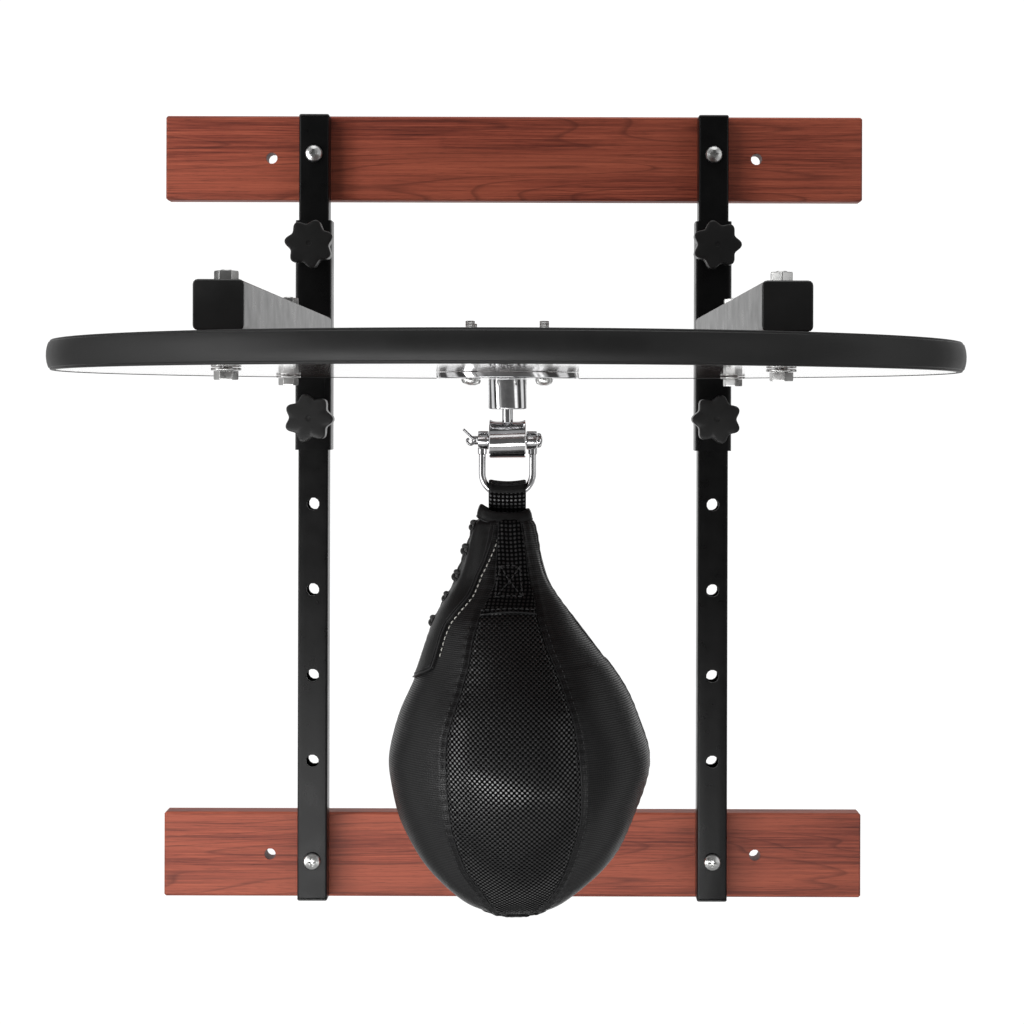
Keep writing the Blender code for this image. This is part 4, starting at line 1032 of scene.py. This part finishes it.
def make_flap(bag):
    """The smooth leather flap under the lace, split down its middle."""
    down, over = border_spread(70, FLAP_RIM[0]), border_spread(90, FLAP_RIM[1])
    bottom = FLAP_CORNER + (FLAP_POINT - FLAP_CORNER) * np.sin(np.pi * over) ** 0.8
    z = LAYER_TOP + (bottom[None, :] - LAYER_TOP) * down[:, None]
    front, back = flap_edges(z)
    angle = front + (back - front) * over[None, :]
    edge_columns = np.minimum(rim(over, FLAP_RIM[1]), 1) * (1 - 0.9 * hill(over - 0.5, 0.012))
    shape = Shape()
    layer(shape, bag, z, angle, FLAP_LIFT, rim(down, FLAP_RIM[0]), edge_columns)
    shape.piece("bag_flap", "bag", "smooth_leather", "smooth_leather", angle=ALL_SMOOTH)
    lifted = bag.at(z, angle, FLAP_LIFT)
    border = Shape()
    for k in (2, 5):
        down_front, along_bottom = lifted[4:-k, k], lifted[-k, k:-k]
        up_back = lifted[4:-k, -k - 1][::-1]
        rounded_tube(border, np.concatenate([down_front, along_bottom, up_back]), PIPING_RADIUS)
    border.piece("bag_flap_piping", "bag", "smooth_leather", "welt_leather")


def add_stitches(shape, route, normals, length=0.0026, gap=0.0013, radius=0.00038):
    """Separate stitches along a route, each a short arched strand."""
    both = evenly(np.concatenate([route, normals], 1), STITCH_STEP)
    route, normals = both[:, :3], both[:, 3:]
    stride, size = round((length + gap) / STITCH_STEP), round(length / STITCH_STEP)
    count = len(STITCH_TAPER)
    arch = 0.9 * np.sin(np.linspace(0, np.pi, count))[:, None] - 0.2
    for start in range(0, len(route) - size, stride):
        picks = start + np.linspace(0, size, count).round().astype(int)
        points = route[picks] + normals[picks] * (radius * arch)
        shape.rings(tube_rings(points, radius * STITCH_TAPER, 8))


def make_stitching(bag):
    pale, dark = Shape(), Shape()
    z = np.linspace(-0.2935, -0.3745, 120)
    front = facing_angle(z, table(FLAP_STITCHES, z))
    for angle in (front, 2 * LACING_ANGLE - front):
        add_stitches(pale, bag.at(z, angle, 0.0002), bag.normal(z, angle))
    for lines, count, bow in ((BOWED_LINES, 60, 0.0006), (STRAIGHT_LINES, 50, 0)):
        for (start, left), (end, right) in lines:
            z = np.linspace(start, end, count) + bow * np.sin(np.linspace(0, np.pi, count))
            angle = facing_angle(z, np.linspace(left, right, count))
            add_stitches(dark, bag.at(z, angle, PATCH_STITCH_LIFT), bag.normal(z, angle))
    keep = (bag.z < -0.352) & (bag.half > 0.026)
    z = bag.z[keep]
    for k in (1, 2, 4, 5):
        for offset in (-0.0034, 0.0034):
            angle = bag.seams[keep, k] + offset / bag.half[keep]
            route = bag.at(z, angle, 0.0)
            add_stitches(dark, route, bag.normal(z, angle), 0.0022, 0.0016, 0.00022)
    pale.piece("bag_flap_stitches", "bag", "lace_cord", "pale_thread", angle=ALL_SMOOTH)
    dark.piece("bag_seam_stitches", "bag", "lace_cord", "dark_thread", angle=ALL_SMOOTH)


def make_end_patch(bag):
    """The round piece that closes the bottom, with a piped rim."""
    keep = (bag.half < END_REACH) & (bag.z < -0.5)
    rows, half = bag.points[keep], bag.half[keep][:, None, None]
    level = np.clip((0.012 - half) / 0.008, 0, 1)  # the normals run into one at the middle
    normals = bag.normals[keep] * (1 - level) + np.array([0, 0, -1.0]) * level
    normals /= np.linalg.norm(normals, axis=2, keepdims=True)
    share = np.clip((END_REACH - half) / END_RIM, 0, 1)
    top = rows + normals * (END_LIFT * np.sqrt(1 - (1 - share) ** 2) - LAYER_SINK)
    under = rows - normals * LAYER_ROOT
    shape = Shape()
    shape.rings([ring[::4] for ring in [*under[:0:-1], *top]])
    shape.piece("bag_end_patch", "bag", "smooth_leather", "smooth_leather", angle=ALL_SMOOTH)
    piping = Shape()
    piping.rings(tube_rings(top[1][::2], PIPING_RADIUS, 8, closed=True), looped=True)
    piping.piece("bag_end_piping", "bag", "smooth_leather", "welt_leather", angle=ALL_SMOOTH)


def frame_at(bag, z, angle):
    """The surface's outward, sideways and upward directions at a place on the bag."""
    out = bag.normal(z, angle)
    side = np.cross(out, (0, 0, 1.0))
    side /= np.linalg.norm(side)
    return out, side, np.cross(side, out)


def make_lace(bag):
    """The lace: two strands down the slit, and at each pair of eyelets a bar and a knot."""
    lace, eyelets = Shape(), Shape()
    turns = np.linspace(0, FULL_TURN, 28, endpoint=False)[:, None]
    sweep = np.linspace(-1, 1, 17)
    lift = BAR_LIFT + BAR_RISE * np.cos(sweep * QUARTER)
    lift[[0, -1]] = BAR_END
    for z in LACE_HEIGHTS:
        reach = LACE_REACH / bag.half_at(z)
        bar = bag.at(z + 0 * sweep, LACING_ANGLE + reach * sweep, lift)
        rounded_tube(lace, bar, LACE_RADIUS, 10)
        out, side, up = frame_at(bag, z, LACING_ANGLE)
        centre = bag.at(z, LACING_ANGLE, KNOT_LIFT)
        wide, deep = KNOT_LOOP
        for way in (-1, 1):
            loop = centre + side * np.cos(turns) * wide + out * np.sin(turns) * deep
            rise = KNOT_OFFSET - KNOT_TILT * wide * np.cos(turns)
            loop = loop + up * way * rise
            lace.rings(tube_rings(loop, KNOT_RADIUS, 12, closed=True), looped=True)
        for way in (-1, 1):
            out, side, up = frame_at(bag, z, LACING_ANGLE + way * reach)
            place = bag.at(z, LACING_ANGLE + way * reach, EYELET_LIFT)
            ring = place + EYELET_RADIUS * (side * np.cos(turns) + up * np.sin(turns))
            eyelets.rings(tube_rings(ring, EYELET_WIRE, 10, closed=True), looped=True)
    heights = np.linspace(LACE_HEIGHTS[0] + 0.001, LACE_HEIGHTS[-1] - 0.003, 60)
    for way in (-1, 1):
        angle = LACING_ANGLE + way * STRAND_OFFSET / bag.half_at(heights)
        wave = np.cos(way + FULL_TURN * (heights - LACE_HEIGHTS[0]) / STRAND_TURN)
        lift = STRAND_LIFT + STRAND_WAVE * wave
        rounded_tube(lace, bag.at(heights, angle, lift), LACE_RADIUS, 10)
    lace.piece("bag_lace_fine", "bag", "lace_cord", "lace_cord", ["bag_lace"], ALL_SMOOTH)
    eyelets.piece("bag_eyelets", "bag", "smooth_leather", "black_paint", angle=ALL_SMOOTH)


def make_collar():
    """The smooth leather band round the neck, dipping at the front and back."""
    turn = FULL_TURN * np.arange(COLLAR_SIDES) / COLLAR_SIDES
    top, bottom = (
        height - tilt * np.sin(turn) - dip * np.cos(turn) ** 2 for height, tilt, dip in COLLAR_ENDS
    )

    def ring(share, proud):
        half = COLLAR_HALF + COLLAR_FLARE * share + proud
        points = section(half, COLLAR_LEAN, COLLAR_LEVEL, turn)
        points[:, 2] = top + (bottom - top) * share
        return points

    shape, piping = Shape(), Shape()
    shape.rings([ring(*row) for row in COLLAR_PROFILE], looped=True)
    shape.piece("bag_collar_fine", "bag", "smooth_leather", "smooth_leather", ["bag_collar"], 1.2)
    line = ring(1, -0.0002) + np.array([0, 0, 0.0006])
    piping.rings(tube_rings(line, 0.00045, 8, closed=True), looped=True)
    piping.piece("bag_collar_piping", "bag", "smooth_leather", "welt_leather", angle=ALL_SMOOTH)


def strap_outline(half, join):
    """One face of the folded strap from end to end, seen from its side."""
    side = [(join, STRAP_END_Z), (join, STRAP_JOIN_Z), (half * 0.93, STRAP_ARCH_Z - 0.006)]
    for turn in np.linspace(0, QUARTER, 9):
        side.append((half * math.cos(turn), STRAP_ARCH_Z + half * math.sin(turn)))
    return smooth_curve(side + [(-y, z) for y, z in reversed(side[:-1])], 4)


def make_strap():
    """The woven strap folded over the shackle's wire, a little hollow across its top."""
    outer = strap_outline(STRAP_ARCH + STRAP_THICKNESS, STRAP_THICKNESS + 0.0003)
    inner = strap_outline(STRAP_ARCH, 0.0005)
    along = np.concatenate([[0], np.cumsum(np.linalg.norm(np.diff(outer, axis=0), axis=1))])
    edge = np.array([0.9, 0.95, 0.985, 1])
    stations = np.concatenate([-edge[::-1], np.linspace(-0.8, 0.8, 17), edge])[:, None]
    rounding = STRAP_EDGE * np.clip(np.abs(stations) - 0.9, 0, 1) / 0.1
    layers = []
    for route, way in ((outer, 1), (inner, -1)):
        away = route - np.array([0, STRAP_ARCH_Z])
        away /= np.linalg.norm(away, axis=1)[:, None]
        moved = route - way * away * rounding[:, :, None]
        height = STRAP_ARCH_Z + STRAP_ARCH - STRAP_JOIN_Z
        sag = STRAP_SAG * np.clip((route[:, 1] - STRAP_JOIN_Z) / height, 0, 1)
        y, z = BOARD_Y + moved[:, :, 0], moved[:, :, 1] + (1 - stations**2) * sag
        layers.append(np.stack([np.broadcast_to(stations * STRAP_HALF, y.shape), y, z], 2))
    uv = np.stack(np.broadcast_arrays(stations * STRAP_HALF, along), 2)
    shape = Shape()
    shape.slab(*layers, uv)
    heights = [np.mean([shape.points[i][2] for i in face]) for face in shape.faces]
    shape.marks = [int(z > STRAP_FOLD_Z) for z in heights]
    finishes = ["woven_leather", "smooth_leather"]
    shape.piece("bag_strap_fine", "bag", "woven_leather", finishes, ["bag_strap"], 1.0)


def make_bag():
    bag = BagSurface()
    for make in (make_cover, make_welts, make_neck_patch, make_flap, make_stitching):
        make(bag)
    make_end_patch(bag)
    make_lace(bag)
    make_collar()
    make_strap()


# ------------------------------------------------------------- stage and view


def make_camera():
    data = bpy.data.cameras.new("camera")
    data.lens = CAMERA_LENS
    data.sensor_width = 36
    data.shift_x, data.shift_y = CAMERA_SHIFT
    data.clip_end = 60
    bpy.context.scene.camera = put("camera", data, CAMERA_PLACE, (QUARTER, CAMERA_ROLL, 0))


def make_floor():
    mesh = bpy.data.meshes.new("floor")
    body = bmesh.new()
    bmesh.ops.create_circle(body, cap_ends=True, radius=FLOOR_RADIUS, segments=96)
    body.to_mesh(mesh)
    body.free()
    floor = put("floor", mesh, (0, BOARD_Y, FLOOR_Z))
    finish = Finish("floor", Roughness=0.9)
    mottle = finish.noise(1.5, 3)
    finish.set(Base_Color=finish.ramp(mottle, (0.3, 0.86), (0.7, 0.9)))
    mesh.materials.append(finish.material)
    floor.visible_glossy = False  # keeps a haze off the black pieces from below


# The room's brightness from the viewer's side, -1, to the wall's side, 1.
ROOM = (
    (-1.0, 0.10), (-0.80, 0.14), (-0.72, 0.42), (-0.45, 0.46), (-0.36, 0.05), (-0.06, 0.06),
    (0.06, 0.85), (0.36, 0.85), (0.46, 0.08), (0.74, 0.08), (0.86, 1.0),
)  # fmt: skip
ROOM_STRENGTH = 1.06
MIDDLE = (0, BOARD_Y, -0.3)
# Each light's name, place, aim, size, power and roll about its aim.
LIGHTS = (
    ("key", (-1.6, -2.1, 1.0), MIDDLE, (1.2, 1.4), 29, 0),
    ("fill", (1.9, -1.9, 0.1), MIDDLE, (0.7, 2.0), 4, 0),
    ("left", (-1.3, -1.0, -0.35), (-0.1, 0, -0.35), (0.35, 1.6), 8, 0),
    ("low_left", (-0.50, -1.78, -0.98), (0, BOARD_Y, -0.45), (1.7, 0.42), 17, -0.22),
    ("low_right", (0.80, -1.70, -1.15), (0, BOARD_Y, -0.48), (0.8, 0.3), 2, 0),
    ("top", (0.0, -0.5, 1.7), MIDDLE, (1.8, 1.8), 16, 0),
)


def area_light(name, place, aim, size, power, roll):
    data = bpy.data.lights.new(name, "AREA")
    data.shape = "RECTANGLE"
    data.size, data.size_y = size
    data.energy = power
    turn = (Vector(aim) - Vector(place)).to_track_quat("-Z", "Y").to_euler()
    turn.rotate_axis("Z", roll)
    return put(name, data, place, turn)


def make_studio():
    """A white backdrop, a room that is dimmer on the viewer's side, and six soft lights."""
    world = bpy.data.worlds.new("studio")
    bpy.context.scene.world = world
    world.use_nodes = True
    sky = Nodes(world.node_tree)
    direction = sky.node("TexCoord").outputs["Generated"]
    toward_wall = sky.node("SeparateXYZ", {0: direction}).outputs["Y"]
    room = [((place + 1) / 2, shade) for place, shade in ROOM]
    shade = sky.ramp(sky.range(toward_wall, 0, 1, -1), *room)
    seen = sky.node("LightPath").outputs["Is Camera Ray"]
    background = sky.tree.nodes["Background"]
    sky.feed(background.inputs["Color"], sky.mix(seen, shade, (1, 1, 1)))
    sky.feed(background.inputs["Strength"], ROOM_STRENGTH)
    lights = {row[0]: area_light(*row) for row in LIGHTS}
    # The key gives the black pieces their shape without a sheen from above.
    lights["key"].visible_glossy = False
    bpy.context.scene.view_settings.view_transform = "Standard"


make_camera()
make_floor()
make_studio()
finish_frame()
soften_frame()
make_edge_band()
make_knobs()
make_shackle()
make_cotter()
make_saddle()
make_screw_threads()
make_bag()
